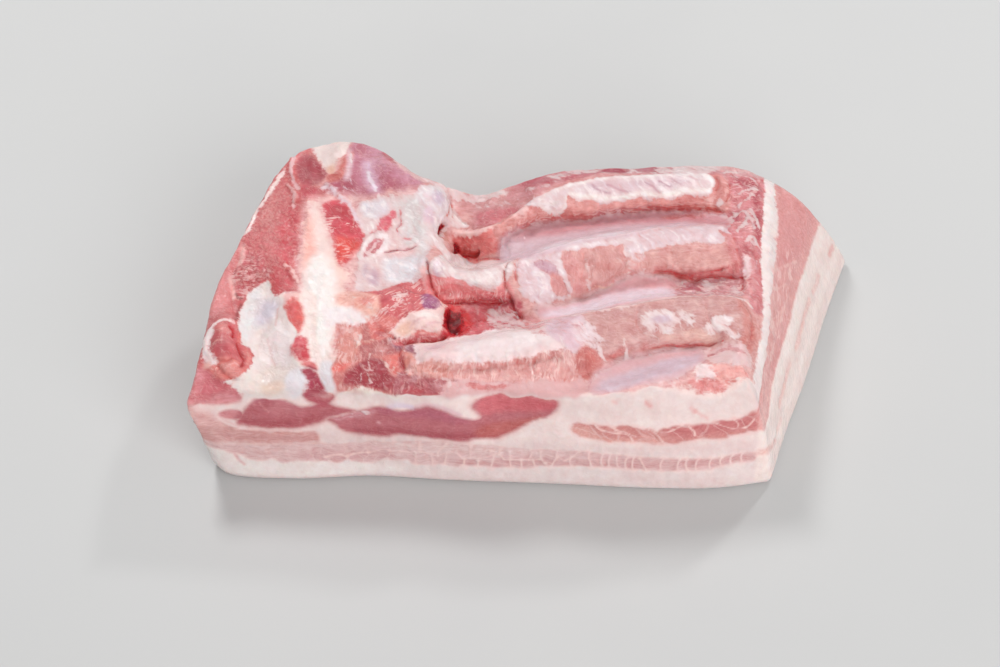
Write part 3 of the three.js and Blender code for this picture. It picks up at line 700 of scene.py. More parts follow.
    (dict(lean="#cc6b73"), 1.5, "-31,-9 -8,-9 -6,-16 -4,-24 -10,-26 -22,-26 -32,-29 -37,-28 -36,-14"),
    (dict(tint="#d46b71"), 2, "-30,-10 -16,-10 -18,-16 -20,-26 -30,-27"),
    (dict(film=0.6), 2, "-20,-12 -8,-12 -3,-18 -4,-26 -16,-26"),
    (dict(tint="#cc3a42", lean="#cc3a42"), 0.8, "-37,-11 -32,-9.5 -29,-12 -26.5,-17 -27,-22 -29,-27 "
     "-33,-29.5 -38,-28"),
    (dict(deep=1.2), 1.2, "-37,-13 -33,-11.5 -29.5,-15 -29,-19 -30.5,-22 -29.5,-25 -33,-28 -36.5,-26 "
     "-37.5,-21"),
    (dict(deep=2.2), 1.4, "-34.6,-12 -33.2,-14 -31.4,-12.2 -30.4,-15 -32.2,-17.6 -30.6,-20 -31.6,-26 "
     "-33.6,-24 -35.2,-26.2 -34.2,-20 -35.8,-17"),
    (dict(deep=1.1), 0.7, oval(-33.2, -16.4, 0.7, 1), oval(-33, -21.6, 0.9, 0.7),
     oval(-34.6, -23.6, 0.6, 0.9)),
    (dict(deep=0, film=0, lean="#de5456"), 0.5, oval(-28.6, -13.4, 1, 1.3), oval(-27.8, -16.6, 0.9, 1.3),
     oval(-30.6, -25.6, 1.3, 0.9), oval(-33, -10.2, 1.2, 0.6)),
    (dict(fat="#f8e2e2"), 0.9, "-50,-31 -44,-31 -36,-30 -28,-29.5 -18,-25 -8,-24 -1,-27 5,-33 14,-36 "
     "16,-40 0,-42.5 -20,-45 -36,-46 -48,-46 -50,-38"),
    (dict(tinge="#f0d2d2"), 2.5, "-50,-32 -34,-32 -30,-38 -36,-46 -50,-46"),
    (dict(tinge="#eeb0ac"), 0.8, Band(0.7, "-49.4,-32 -44,-30.6 -36.6,-29.4 -30.8,-29.2 -22.4,-26.4")),
    (dict(tinge="#deb8c0"), 2, oval(-42, -37, 3.5, 2)),
    (dict(tinge="#eedada"), 2, "-30,-32 -8,-26 4,-34 12,-38 -10,-42 -30,-44"),
    (dict(lean="#e1a8a4"), 0.9, "-50,-45.5 -36,-46 -20,-45 0,-42.5 16,-40 18,-46 14,-52 -8,-53 -30,-52 "
     "-50,-49"),
    (dict(flecks=0.55), 1, "-50,-45.5 -20,-45 16,-40 18,-46 14,-52 -8,-53 -30,-52 -50,-49"),
    (dict(across=1), 1.5, "-54,-24 -30,-44 18,-40 20,-52 -30,-54 -84,-60 -84,-24"),
    (dict(tint="#de9e96", grit=1), 1.2, "-50,-45.4 -36,-45.6 -34.6,-49 -35,-52 -41,-52 -44,-51 -49,-48.4"),
    (dict(fat="#e0b2b2"), 1.2, "-34,-53 -8,-54 14,-52 20,-50 22,-62 -34,-64"),
    (dict(lean="#d88c8c"), 0.8, "-27,-53.5 -20,-54.5 -12,-55 -12,-56.5 -20,-57 -27,-56"),
    (dict(tint="#cc8177", tinge="#d6968c"), 0.8, oval(-39, 31, 2.6, 4.8)),
    # Blood and painted shade in the fold's slit and hole, and in the slits beyond them.
    (dict(deep=1.3), 0.4, Band(0.55, "-37.6,35.4 -38.6,33 -39.4,30.6")),
    (dict(deep=0.95), 0.7, "-33.5,31 -31.8,30 -30.5,26.5 -27,25 -27.5,23.5 -31,24.5 -33.5,27"),
    (dict(deep=0.6), 0.6, Band(0.5, "-28,24.4 -20,20.8 -11.4,19.6")),
    (dict(deep=0.35), 0.8, Band(0.6, "-27,24 -20,25 -16,25 -11,28 -6,32")),
    (dict(deep=0.45), 0.6, Band(0.35, "-55.6,-38 -55.2,-41.5 -54.2,-45 -53.4,-48")),
    (dict(deep=0.35), 0.8, Band(0.6, "-9,-9 -8,-13 -4,-16")),
]

# The strips of meat and the beds of the ribs between them, up to the loin cut.
LOIN_SIDE = [
    # Behind the far strip.
    (dict(tint="#cc868a"), 3, "-10,64 0,70 20,74 90,78 90,58 40,60 14,55 2,48 -10,50"),
    (dict(film=0.5), 2, "-2,49 6,52 16,57 40,61 78,62 84,76 40,72 16,66 0,58"),
    (dict(film=0, tint="#be626c"), 1.5, "-6,60 -1,56 5,54 9,56 8,60 2,64"),
    (dict(film=0.1, tint="#c26872"), 1.2, Band(1.2, "14,57 22,60 30,63")),
    (dict(film=0.1, tint="#ae5260"), 1.2, "31,63 36,62 42,63 41,68 32,67"),
    (dict(film=0.15, tint="#b66c76"), 1.2, "47,64 56,63.5 56,68 48,68"),
    (dict(film=0.75), 2, "57,62 80,62 84,76 58,74"),
    # The far strip: white membrane above, orange-pink flank below.
    (dict(lean="#de9893"), 1.2, "-16,34 -10,38 -4,38.5 2,42 8,43 16,48 30,48 46,49 66,50 79,50 86,52 88,44 "
     "82,42 65,45 47,45 40,45 31,43.4 21,41.4 12,40 2,37.4 -4,35 -10,31 -15,29"),
    # Painted highlight: a pale band along the top of the flank, where it turns down.
    (dict(tint="#eeafa8"), 1.5, Band(1.1, "18,45 30,44.8 44,46.4 60,47.4")),
    (dict(flecks=0.6), 1.2, "-10,36 8,42 20,43.6 40,45.6 60,47 78,49 84,46 70,45 44,44 20,41.6 2,37.6 "
     "-8,32"),
    # Painted shade: darker red along the crease at the flank's foot.
    (dict(tint="#d47070"), 1.1, Band(0.6, "-12,30 -4,35 6,38.4 20,41.4 32,43.6")),
    (dict(film=0.97, veil="#e6d0d2"), 0.8, "-3.5,44 3,48 10,51.4 18,55 27,57.4 38,58.8 51,60 67,60.6 "
     "76,60.4 79.4,58 80,54 78,50 72,49 67,49.8 61,48.4 56,48.9 51,48 46,48.9 40,47.2 36,47.4 31,46.4 "
     "26,47.4 21,47.3 16,48.4 15,44.6 12.4,41.4 8,41 5,42 2,43"),
    (dict(veil="#dcc2c9"), 2, Band(2.2, "24,53.4 40,54 56,54.6 70,55.6")),
    (dict(veil="#c496a2"), 0.5, Band(0.4, "26,53.6 30,51 34,50"), Band(0.4, "33,53.8 38,52 43,51"),
     Band(0.4, "49,55 53,52.6 56,51"), Band(0.4, "56,55.4 59,53.8 61,53")),
    (dict(veil="#cca4ae"), 0.5, Band(0.4, "61,58 63.4,55.4 65,54")),
    (dict(veil="#f6ece9"), 0.7, Band(0.7, "3,43.6 8,42 13,43 16.8,49 24,48.4 36,48.6 46,49.8 56,49.9 "
     "66,50.6 77,51")),
    (dict(veil="#f2e4e3"), 0.8, Band(0.6, "10,50.6 22,55.4 40,58.4 60,59.6 76,59.6")),
    (dict(veil="#faf2f0"), 0.5, Band(0.5, "77.6,51 79,54 78,58.6")),
    (dict(lean="#d8908c"), 1, "79.6,58 83,58.5 86,54 86,49 84,46 80.6,47.5 80.6,52"),
    (dict(film=0.95, veil="#f0dedc"), 0.6, oval(82, 46.8, 1.5, 1.1)),
    # Blood and painted shade in the slit under the flank.
    (dict(deep=0.5), 1, Band(0.5, "45,45.2 55,46 65,45.6 74,45.4 80,44.4 84.5,42")),
    # The first bed, under a bluish membrane.
    (dict(lean="#ce9296", film=0.97, smooth=0.9, veil="#d49aa0"), 1.2, "-14,24 -12,29 -4,34.5 2,37 12,39.4 "
     "21,41 31,43 44,44.6 56,45 70,44.6 82,42 86,36 84,30 71,32 60,29 49,26 37,22 23,19 7,13 -4,10 -14,17"),
    (dict(veil="#dec2ca"), 3, "-14,26 -1,31 13,31.5 29,36 44,38 58,38 70,36 72,32 60,29 49,26 37,22 23,19 "
     "7,13 -4,10 -14,17"),
    (dict(veil="#e8d6dc"), 2, Band(2, "2,17 18,21.4 37,25.6 49,28.6 62,31.6")),
    (dict(tint="#ca8082", film=0.2), 1, "56,42.4 61,44 67,44.4 74,44.2 78,42.6 73,41 67,42 62,40.6"),
    (dict(film=0.6, smooth=0), 1.5, "70,42 84,42 87,34 84,28 74,34"),
    # The second strip.
    (dict(lean="#dea4a0", smooth=0), 1.2, "-6,10 -4,10.6 7,13.4 23,19.4 37,22.4 49,26.4 60,29.4 71,32 "
     "82,31 87,25 89,16 88,8 76,6 62,6 52,8 45,6 36,2.8 28,-0.8 20,-3.6 10,-8 0,-12 -6,-6"),
    (dict(film=0.9, veil="#e6ced3"), 1.6, "-6,9 7,13 23,19 37,22 49,26 60,29 71,32 83,31 86,26 81,20 "
     "72,20.5 64,19 58,18.6 52,15 46,9 41,10 39,20 34,17.6 24,16.8 19,15 14,15.8 12,12 14,5 16,-3 10,-7 "
     "0,-11 -6,-6"),
    (dict(film=1, veil="#eedcde"), 1.2, Band(1.2, "16,17 24,18.4 36,20.6 44,21 46,15")),
    (dict(film=0.15, tint="#cea4b0"), 1, "-1,6 2,10 6,9.6 10,6.4 10.4,2 7,2.6 3,4.4"),
    (dict(film=0.1, tint="#da9896"), 1, "8,3.6 12,2 15,-2 13,-4.4 9,-4.4 7.6,-1", "11.8,13 14,15 17,13.4 "
     "20,8 22,3 20.4,-1.4 17,-2.4 15,1 13,7"),
    (dict(film=0.08, tint="#d49894"), 1, "25,15 29,16.2 34,16.2 38,14.4 40.4,9 38.6,4 35,2 28,0 25,2 24,7"),
    (dict(film=0.55, veil="#ecd0cf"), 0.9, Band(1.1, "22,16 22.6,9 23.6,4 23.4,-1")),
    (dict(film=0.5, veil="#ecd4d2"), 0.9, Band(0.8, "40,15 42,10 41,5")),
    (dict(film=0.95, veil="#eedadc"), 0.6, Band(0.5, "10.6,9 12.6,3 16,-3")),
    (dict(film=0.45), 1.5, "41,12 46,17 50,10 44,6"),
    (dict(film=0.08, tint="#d89f9a"), 1.2, "46,9 49,12 48,15 53,17 55,13 58,12 60,16.4 66,16.4 68,14 "
     "72,17.4 75,14 81,17.4 86,16 88,11 84,9.5 75,8 70,7 60,8 53,9"),
    (dict(tint="#d68c8c", film=0.15), 1, "81,27 84,26 89,18 89,10 85,11 83.5,20"),
    (dict(fat="#ecc0b2"), 0.4, Band(0.35, "25,-0.2 27,1 31,0.8 35,2")),
    (dict(across=1), 3, "-2,12 24,18 44,20 50,10 36,3 10,-6 0,-8"),
    # The slit below it, red with blood and painted shade, and the second bed.
    (dict(tint="#cc7878", film=0), 0.8, "52,8.6 60,8.4 66,7.4 75,8 84,9.6 91,9 91,4 84,5 77,5.6 70,4 62,6"),
    (dict(deep=0.55), 0.8, Band(0.5, "52,8.2 60,7.2 65,6.6 70,6 76,7.2 84,9")),
    (dict(deep=0.6), 0.8, Band(0.5, "68,4.8 73,4.6 77,5.8 84,5.4 91,4.4")),
    (dict(lean="#e0b4b4", film=0.97, smooth=0.9, veil="#e8aaad"), 1.2, "2,-12 13,-8.4 24,-3 38,3.6 49,6.6 "
     "57,6 62,4 62,0 60,-11 44,-14 29,-17 13,-18 4,-17"),
    (dict(veil="#eedae3"), 2.2, "3,-14 13,-9.6 24,-5 40,0.4 50,1 60,0 60,-10 44,-12.6 29,-16 13,-17"),
    (dict(lean="#d2969a", smooth=0), 1, "60,3.6 66,3.4 70,3.6 77,4.8 90,4 91,-6 86,-8 78,-6 67,-8 60,-8"),
    (dict(film=0.4, flecks=0.9), 1.5, "61,4 90,4 90,-7 66,-8 60,-6"),
    (dict(tint="#b86c76", film=0.1), 1.2, Band(1.3, "64,1.6 69,1.4 73,-1")),
    # The third strip.
    (dict(lean="#d2a09d"), 1.2, "8,-20 18,-20.6 30,-18.6 44,-16 54,-13.2 65,-10.6 76,-9 86,-10 91,-16 "
     "93,-24 91.6,-33 88,-41 84,-35 78,-31.6 68,-32.2 59,-32.8 50,-34 44,-37.6 39,-40.4 33,-41 28,-42 "
     "18,-40 10,-30"),
    (dict(film=0.1), 1, "18,-21 40,-17 60,-14.5 80,-10.5 88,-14 92,-24 86,-43 78,-31 60,-31 40,-38 28,-41 "
     "10,-32"),
    (dict(film=0.85, veil="#f3d8d5"), 1.1, Band(0.7, "3,-17.6 13,-19.4 23,-18.8 34,-17.6 44,-15.6 54,-12.8 "
     "65,-10.4 76,-9 87,-11 92,-14")),
    (dict(tint="#cf9a97"), 2, oval(34, -28, 9, 7)),
    (dict(film=0.66, veil="#f0dede"), 2, "44.6,-23 46.6,-30 52,-30.6 58,-29.4 60,-26.4 68,-24.4 66,-20 "
     "58,-18.4 51,-18.6 46.6,-20"),
    (dict(film=0.95, veil="#dac0cc"), 1.2, "49,-24 52,-21.6 57,-22.6 57,-25 53,-26"),
    (dict(tint="#dcaca3"), 1.5, "52,-31 60,-29 68,-27 76,-29 76,-31.4 64,-31.6"),
    (dict(film=0.72, veil="#f0e0e0"), 1.3, "71.6,-26 75,-22.4 78,-20.6 84,-22 83,-26 86.4,-31 83,-32.4 "
     "79,-28.6 75,-29"),
    (dict(tint="#d49494"), 1, Band(0.5, "78,-24.4 81.4,-28 84,-31.4")),
    (dict(tint="#d48a84"), 1.6, "86,-12 91,-16 94,-24 92,-34 88,-42 86,-34 88.4,-25"),
    (dict(lean="#e0a0a0"), 1.5, "-5,-17 2,-17 8,-21 9,-28 6,-34 0,-33 -4,-26"),
    (dict(tint="#e2969a"), 1.5, oval(2, -24, 4, 5)),
    (dict(film=0.45, smooth=0), 1.5, "-5,-17 2,-17 8,-21 9,-28 6,-34 0,-33 -4,-26"),
    (dict(tint="#e2b4b8"), 2, "8,-20 20,-21 21,-32 19,-41 10,-38 5,-33"),
    (dict(film=0.7, veil="#e0bec8"), 1.8, "8,-20 20,-21 20,-30 18,-41 10,-38 5,-33"),
    (dict(film=0.6, flecks=0.6, veil="#ecd6da"), 1.5, "16.6,-24 23,-24.6 27,-30 27.4,-38 23,-37 18,-37 "
     "16,-31"),
    (dict(lean="#ce7e79", film=0), 1, oval(22.5, -44, 4.8, 5.2)),
    (dict(tint="#c66c66"), 1.6, oval(22.5, -44, 2.8, 3.2)),
    (dict(tint="#d08280"), 1, Band(0.8, "28,-41.4 33,-40.4 37,-37"), Band(0.8, "40,-39.4 44,-37 47,-34.4")),
    (dict(film=0.85, veil="#f0dcda"), 0.8, Band(0.6, "37.4,-33.6 39,-37 38.6,-40.4")),
    (dict(film=0.8, veil="#eed8d8"), 0.8, Band(0.6, "26.8,-36 28,-40 30,-42")),
    # Blood and painted shade in the slit under the third strip.
    (dict(deep=0.6), 0.5, Band(0.4, "56,-33.2 60,-32.8 66,-32 72,-32.2 79,-31.8")),
    # The third bed, and torn meat at its end.
    (dict(lean="#d8a8aa", film=0.97, smooth=0.9, veil="#e2b4b8"), 1.4, "23,-59 24,-50 30,-44.6 36,-41.6 "
     "44,-38.6 54,-35.6 64,-33.4 71,-34 71,-42 63,-49 54,-54 43,-57 30,-60"),
    (dict(veil="#d8c0cb"), 2.4, "25,-57 28,-51 36,-47 46,-43 56,-40.6 66,-37 70,-38 67,-45 58,-50 46,-54 "
     "34,-58"),
    (dict(tint="#eec0be", film=0.2), 2, Band(0.9, "28,-60 43,-57.8 58,-54.4 67,-51.4")),
    (dict(fat="#e6c4c4", smooth=0), 1.2, "71,-35 78,-33 89,-36 90,-45 83,-46 74,-44"),
    (dict(lean="#d08e90"), 0.9, Band(0.7, "73,-38 80,-35.6 87,-39")),
    (dict(fat="#f2dada"), 1, "68,-45 74,-46.6 75,-52 67,-53"),
    (dict(lean="#e28e8c"), 1, "64.6,-54 69,-52.6 71,-52 75,-53 77.6,-54 76.8,-56.2 73,-57.2 69,-56.4"),
    (dict(lean="#eca8a3"), 1, "73,-47 79,-45.4 83,-46.4 87.6,-49.6 85,-52.4 80,-53.2 76.6,-51.4"),
    (dict(fat="#f2d8d4"), 1.8, "20,-61 30,-60.8 43,-59 58,-56.6 68,-57.4 74,-58 78,-56 80,-54 90,-52.6 "
     "94,-66 20,-74"),
    # The ragged red margin beside the loin cut.
    (dict(lean="#d68a8e"), 1.2, "84,66 88,60 88,44 86,38 84,30 89,20 90,8 90,-2 92,-12 96,-14 110,0 110,70 "
     "90,76"),
    (dict(film=0.2), 1.5, "84,66 88,60 86,38 84,30 89,20 90,-2 96,-14 110,0 110,70"),
    (dict(flecks=0.5), 2, "84,62 88,40 88,24 98,24 99,44 100,62"),
    (dict(tint="#b85c66"), 2, oval(93, 57, 5, 3.6)),
    (dict(tint="#bc6268"), 2, oval(92.5, 17, 2.5, 3)),
    (dict(tint="#c26872"), 2, oval(88, 38, 3, 4)),
    (dict(tint="#dcacac"), 2, "78,68 90,70 104,68 100,62 86,64"),
    (dict(fat="#eccccd"), 0.7, "90,13 93,12.5 92.6,8 93,4 90.8,4 90.4,9"),
    (dict(film=0.75), 0.8, Band(1, "84,28 86.5,33 87.5,38")),
    (dict(film=0.8), 0.7, Band(0.8, "93,40 95,35 96.5,30")),
    (dict(film=0.7), 0.7, Band(0.7, "91,44 94,47 97,50")),
    (dict(film=0.75), 0.6, Band(0.7, "89,61 94,62 99,60")),
    (dict(film=0.9), 0.6, Band(0.6, "84,36 88,40 92,41"), Band(0.7, "89,27 92,32 93,37")),
    (dict(film=0.9), 0.5, Band(0.6, "96,42 97,37 98,32")),
    (dict(film=0.85), 0.6, Band(0.6, "85,62 88,64 94,65"), Band(0.6, "91,50 95,53 99,54"),
     Band(0.5, "92,22 95,25 97,22")),
    (dict(tint="#b85862"), 1.5, "97,62 101,56 100,40 98,24 96,30 97,44 96,56"),
    # The strip of fat beside the loin cut.
    (dict(fat="#f2e2e0", film=0), 0.5, "90.5,-60 91.5,-45 94.5,-30 96.5,-20 97.5,-5 98,5 98.5,15 99.5,30 "
     "101.5,42 103.5,60 107,80 130,80 130,-80 90,-80"),
]

# The seams between the bundles of the layer over the rind.
BUNDLE_SEAMS = [
    "-56,17.6 -52.5,17.5 -49,18.5 -44,17.9 -41,17 -38,18.4 -35.5,19.8 -32.5,19.4 -30.5,17.2 -29,16 "
    "-26,16.7 -23,16.1 -20,17.2 -17,18.3 -14.5,18.6 -13,16.5 -12,15.3 -5,15.6 0.5,15.8 3,16.4",
    "-48,24.5 -48,18.6", "-36.5,24 -40,19.4 -40.4,17.2", "-26.5,23.4 -26.5,16.6", "-14,21.4 -14.5,18.6",
    "-18,20.4 -14.5,18.4", "-10,20 -9.5,15.6", "-0.5,20.2 -2,15.6", "-49.5,18 -50,12", "-43,17.6 -42.5,12",
    "-36.5,19 -37.5,13", "-29,16 -29.5,11", "-23,16 -23.5,11.6", "-23,14.8 -20,15.6 -17.5,15.4",
    "-17,18 -18,11", "-10,15.6 -9.5,11", "-5,15.6 -5,11", "-0.5,15.6 0.5,11.6", "3,21 3,16.4 5,14.4",
    "9.8,22 9,17.6 7.6,13.2", "10,18.7 13,16.6 15,18.4 16.6,19.4 18.4,22", "16,19 15,16.6 15.6,13.8",
    "23,22.6 23,18.6 24.2,14", "28.8,21.4 28.2,17.6 28.8,14", "32,21 31.2,17.4 31.6,13.6",
    "34.4,20.8 34.6,17 35.6,13.6", "39.4,20.2 38.2,17 38.6,13.4", "41.8,19.8 41.2,16 41.8,13",
    "44.4,19.4 45.6,16.6 47.4,12.6", "54.6,19 53.4,16 53.6,12.6", "61.4,18.4 60.4,15.6 60.8,12.6",
    "64.4,18 63.8,15.6 64.4,13", "69,18 68,15.6 68.2,12.4", "74.6,18 73.6,15.4 74,12",
    "79,17.8 78.2,16 78.6,13.6", "83.6,18.4 82.6,16.6 82.8,14", "87.8,18.6 87.2,16.8 87.8,14.4",
    "94,18.6 94.6,14.6", "98,18.8 98.4,15",
]

# The cut in front: the layers of fat and lean, from the rind up.
FRONT_CUT = [
    # Fat, pinker towards the rind and between the layers.
    (dict(smooth=0.8), 3, "-160,-10 150,-10 150,90 -160,90"),
    (dict(tinge="#e6d0cd"), 4, "-146,60 110,60 110,38 10,42 -20,52 -60,46 -146,52"),
    (dict(tinge="#e6cecc"), 3, "-146,30 -80,29 -20,25 10,26 110,26 110,17 -146,18"),
    (dict(tinge="#e8d5d3"), 3, "-146,12 110,14 150,4 150,-6 -150,-6"),
    (dict(tinge="#e5cfcd"), 4, "40,11 78,11 84,4 50,3", "92,14 130,14 130,-6 96,-6"),
    (dict(tinge="#eee0dd"), 2, "-140,15 -126,13 -60,10 -60,5 -130,3"),
    # The breast end: brownish pink at the edge, and a small muscle in white seams.
    (dict(lean="#e2b2af"), 2, "-150,44 -138,38 -132,33 -126,30 -124,26 -130,21 -138,17 -150,16"),
    (dict(lean="#da9094"), 1, "-139,44 -135,47.5 -128,48 -122,46 -122,43 -128,41 -135,41.5"),
    (dict(tint="#e4a0a3"), 0.6, Band(0.3, "-130,48 -130.6,44 -131.4,41")),
    (dict(lean="#d58e92"), 0.9, "-131,36.6 -127,38.2 -122,37.8 -121,35 -123,33.2 -127,33.2 -130.6,34.6"),
    (dict(fat="#eed4d2"), 0.8, Band(0.9, "-141,44 -137,40 -133,36 -129.6,32 -124,29.6 -113,28.4 "
     "-103,28.2")),
    # The first muscle, and the dark one that comes down to it between the knobs of the breastbone.
    (dict(lean="#bb6b72"), 1.4, "-124,31 -122.6,35 -121,38 -119,41 -116,43.8 -112,45 -108,45 -104,44 "
     "-100,42.2 -96,41 -92,41.4 -87,43 -82,41.4 -77,40 -73,38 -78,37 -85,34.8 -88,33 -92,31.5 -99,29.8 "
     "-106,29.2 -113,29.4 -118,30"),
    (dict(tint="#c57a80"), 2.4, oval(-103, 39, 8, 2.6)),
    (dict(tint="#b05c63"), 1.8, "-122,31.6 -112,30 -100,30.6 -90,33.6 -84,36 -92,36.4 -104,34 -118,34"),
    (dict(tint="#b46370"), 1.2, Band(0.9, "-117,43 -110,45 -104,43.8 -98,41.6 -92,41.4")),
    (dict(tint="#d48e92"), 0.5, Band(0.22, "-114,42.4 -112.6,40.4 -110.4,38.4"),
     Band(0.22, "-107,43.2 -103,42.6 -100,41.4")),
    (dict(tint="#d08c90"), 0.6, oval(-116.4, 41.4, 0.8, 0.7)),
    (dict(lean="#b85e68"), 1, "-97.4,47.6 -91,48 -86,48 -82,47 -84.6,43.4 -88,41.6 -93.4,43.4"),
    # The second muscle, with a bright lobe that reaches the rib side.
    (dict(lean="#be7077"), 1.4, "-87,34.2 -83,35.4 -78,37 -73,38.8 -69,40.4 -64,42.4 -60,41.8 -57,41 "
     "-51,41.8 -48,43.2 -44,44.8 -40,44 -36,42.4 -32,40.2 -29,39 -25,38 -22.4,38.6 -22.6,40 -24,42 -26,45 "
     "-24,47.4 -21,48.6 -17,49.2 -10,50.2 -2,51.4 5,51.4 9,50.2 10,46.4 7,42 3,39.2 -2,36.2 -6,32.6 -10,30 "
     "-13,28.4 -17,27 -24,27.6 -29,25.6 -36,26.4 -43,26.8 -50,27.6 -57,27.4 -62,25.8 -70,25.8 -76,26.6 "
     "-80,28.2 -84,31.8"),
    (dict(tint="#ba6a78"), 2, "-64,42 -52,42 -40,44 -30,40 -24,38 -32,36 -46,38 -62,38"),
    (dict(tint="#ac5860"), 2, "-72,26.4 -50,27.4 -36,26.6 -18,27.4 -10,30 -20,31 -40,30.4 -60,30.4 -74,29"),
    (dict(tint="#d09096"), 1.2, "-84,34.6 -76,37 -70,39 -66,39.6 -67,37 -74,35 -82,33.4"),
    (dict(film=0.75, veil="#e8ced2"), 0.5, Band(0.25, "-82,35 -76,36.8 -71,38.6"),
     Band(0.22, "-79,34.4 -73,36 -68,37.4")),
    (dict(film=0.75, veil="#ecd6da"), 0.6, oval(-70, 38.4, 2.2, 0.8)),
    # Painted highlight: a small glint on the second muscle.
    (dict(tint="#dea6ac"), 0.6, oval(-64.6, 33, 0.8, 0.7)),
    (dict(tint="#d06e75"), 2, "-24,44 -20,49 -8,50 8,50 8,46 -2,42 -14,41 -20,40"),
    (dict(tint="#cb676f"), 1.5, oval(4, 47, 4, 2.6)),
    (dict(tint="#be6866"), 2, "-22,34 -10,36 2,40 0,37 -8,31 -16,28 -24,29"),
    (dict(film=0.5, veil="#e6babe"), 0.7, Band(0.3, "-20,48 -16,45 -14,41.6"),
     Band(0.25, "-8,49.6 -5,46.6 0,45")),
    (dict(fat="#e2d0de"), 0.4, Band(0.3, "-60,42.2 -57,43.8 -54,44 -50.6,43.6 -50,42.2")),
    (dict(fat="#e6c8cc"), 0.6, Band(0.4, "-48,43.8 -44,45.4 -38,44.4 -31,41")),
    # The flat muscle under the first one.
    (dict(lean="#d6a29f"), 0.9, "-141,27 -132,27.8 -120,28 -106,28 -95,28 -91.5,27.5 -90.5,25 -91,22 "
     "-95,21.5 -106,21 -122,21.5 -138,21.5"),
    (dict(tint="#ce9896"), 0.8, Band(0.9, "-128,24.5 -112,24 -94,24.5")),
    (dict(fat="#e6c8c4"), 0.4, Band(0.35, "-124,20.6 -110,20.4 -98,20.6 -90,21")),
    # The layer of muscle over the rind, in one or two rows of bundles.
    (dict(lean="#dfbab9"), 0.7, "-140,18.6 -120,20 -91,21.2 -83,20.6 -72,21 -68,22.3 -60,22.4 -48,24.2 "
     "-36,24.8 -26,23.7 -15,22.6 -9,21.6 -1,21 5,21.9 15,21.8 23,22.3 28,21.2 36,20.3 45,19.5 53,18.9 "
     "62,18.2 70,17.7 77,17.6 83,18.2 89,18.4 99,18.6 99,15.4 91,14.6 84,14.4 79,14 73,12.4 65,13 58,12.6 "
     "50,12.8 43,13.2 35,13.8 28,14.2 21,14.2 15,13.9 9,13.4 3,13 -2,11.3 -10,11.5 -16,11.5 -22,12 "
     "-27,11.9 -30,13 -33,11 -39,12.9 -45,11.8 -51,11.8 -53,13.8 -57,12.8 -63,12.9 -69,10.4 -74,10.8 "
     "-79,12.6 -82,10.6 -87,11.9 -100,12.4 -106,11.2 -110,13.8 -115,12.5 -120,12.8 -124,15.1 -128,15.3 "
     "-136,16"),
    (dict(tint="#e3c3c1"), 1.5, "-60,24 0,23 0,19 -60,19.6"),
    (dict(tint="#d7aaa9"), 2, "-30,15 0,16 40,18 90,18 90,14 0,12 -30,11"),
    (dict(tint="#d9adad"), 1.5, "-94,18 -62,17 -62,12 -96,12"),
    (dict(fat="#eed4d0"), 0.5, Band(0.3, "-88,13.6 -82,15 -79,13.8 -74,15.8 -69,16 -63,18.1 -57,16.9")),
    (dict(fat="#eed5d2"), 0.35, *[Band(0.36, line) for line in BUNDLE_SEAMS]),
    (dict(fat="#edd5d2"), 0.6,
     *[oval(*points(line)[end], 0.9, 0.8) for line in BUNDLE_SEAMS for end in (0, -1)]),
    (dict(cells=0.5), 3, "-96,22 -62,23 -60,9 -90,9"),
    # The layer above it at the loin end, in slanting bundles.
    (dict(lean="#d08e8a"), 1, "15,35 17,37.6 22,37.4 29,37.4 32,36 36,36.7 41,36.1 47,34.2 51,32.2 "
     "52.4,33.4 57,35 61,35 66,34.2 71,34.6 75,34.6 78,35.5 83,35.2 88,36.6 92,38.2 94.4,36 94.4,30 "
     "89,28.4 80,27.4 71,27.7 65,27.4 60,26.3 54,26.7 49,26.9 44,27.6 39,27.7 33,27.8 27,28.8 21,30.2 "
     "17,32.6"),
    (dict(tint="#dda39c"), 1.8, "14,36 22,36 28,31 40,29 52,28 52,26 30,26 14,33"),
    (dict(tint="#c87a7a"), 2.5, "56,35 92,37 93,30 76,29.6 60,29.6"),
    (dict(cells=0.35, slant=1), 2, "8,42 96,42 96,24 8,25"),
    (dict(fat="#efd2ce"), 0.5, Band(0.34, "25,37.2 27,35 31,33.6 37.6,32 40,30.4 41,28.4"),
     Band(0.3, "31.6,36.6 35,34 38,32.8 42,30.8"), Band(0.34, "47.6,34 49.6,32.6 52.4,29.6 53.8,27.6"),
     Band(0.3, "52.4,32 56,32.4 61,34.8"), Band(0.3, "63.6,35 66.4,32 66.8,29.8"),
     Band(0.3, "75,34.8 79,32.6 84,30.6 88.6,31 92,34.6"), Band(0.3, "83,35.4 85,33 84.6,30.6")),
    (dict(tint="#e2a09a"), 0.5, Band(0.22, "44,31 48,30 51,28")),
    # Specks of lean in the fat, and the bulge of fat at the breast end.
    (dict(tinge="#e29e9c"), 0.9, Band(0.5, "46,46.5 48,45")),
    (dict(tinge="#e6b2af"), 0.8, Band(0.3, "32,48 33.4,47.4")),
    (dict(tinge="#e6b0ad"), 0.9, Band(0.25, "65,42.5 68,40 72,36.6")),
    (dict(tinge="#de9e9c"), 0.8, oval(66.6, 41, 0.9, 0.6)),
    (dict(fat="#eee0dd"), 0.7, "-142,15.5 -136,17 -131,16.5 -126.5,14 -125,9 -126,-4 -146,-4"),
    (dict(lean="#e2b4b4"), 0.6, Band(0.5, "-126,14.5 -124.5,11.5 -122.5,9.5")),
]

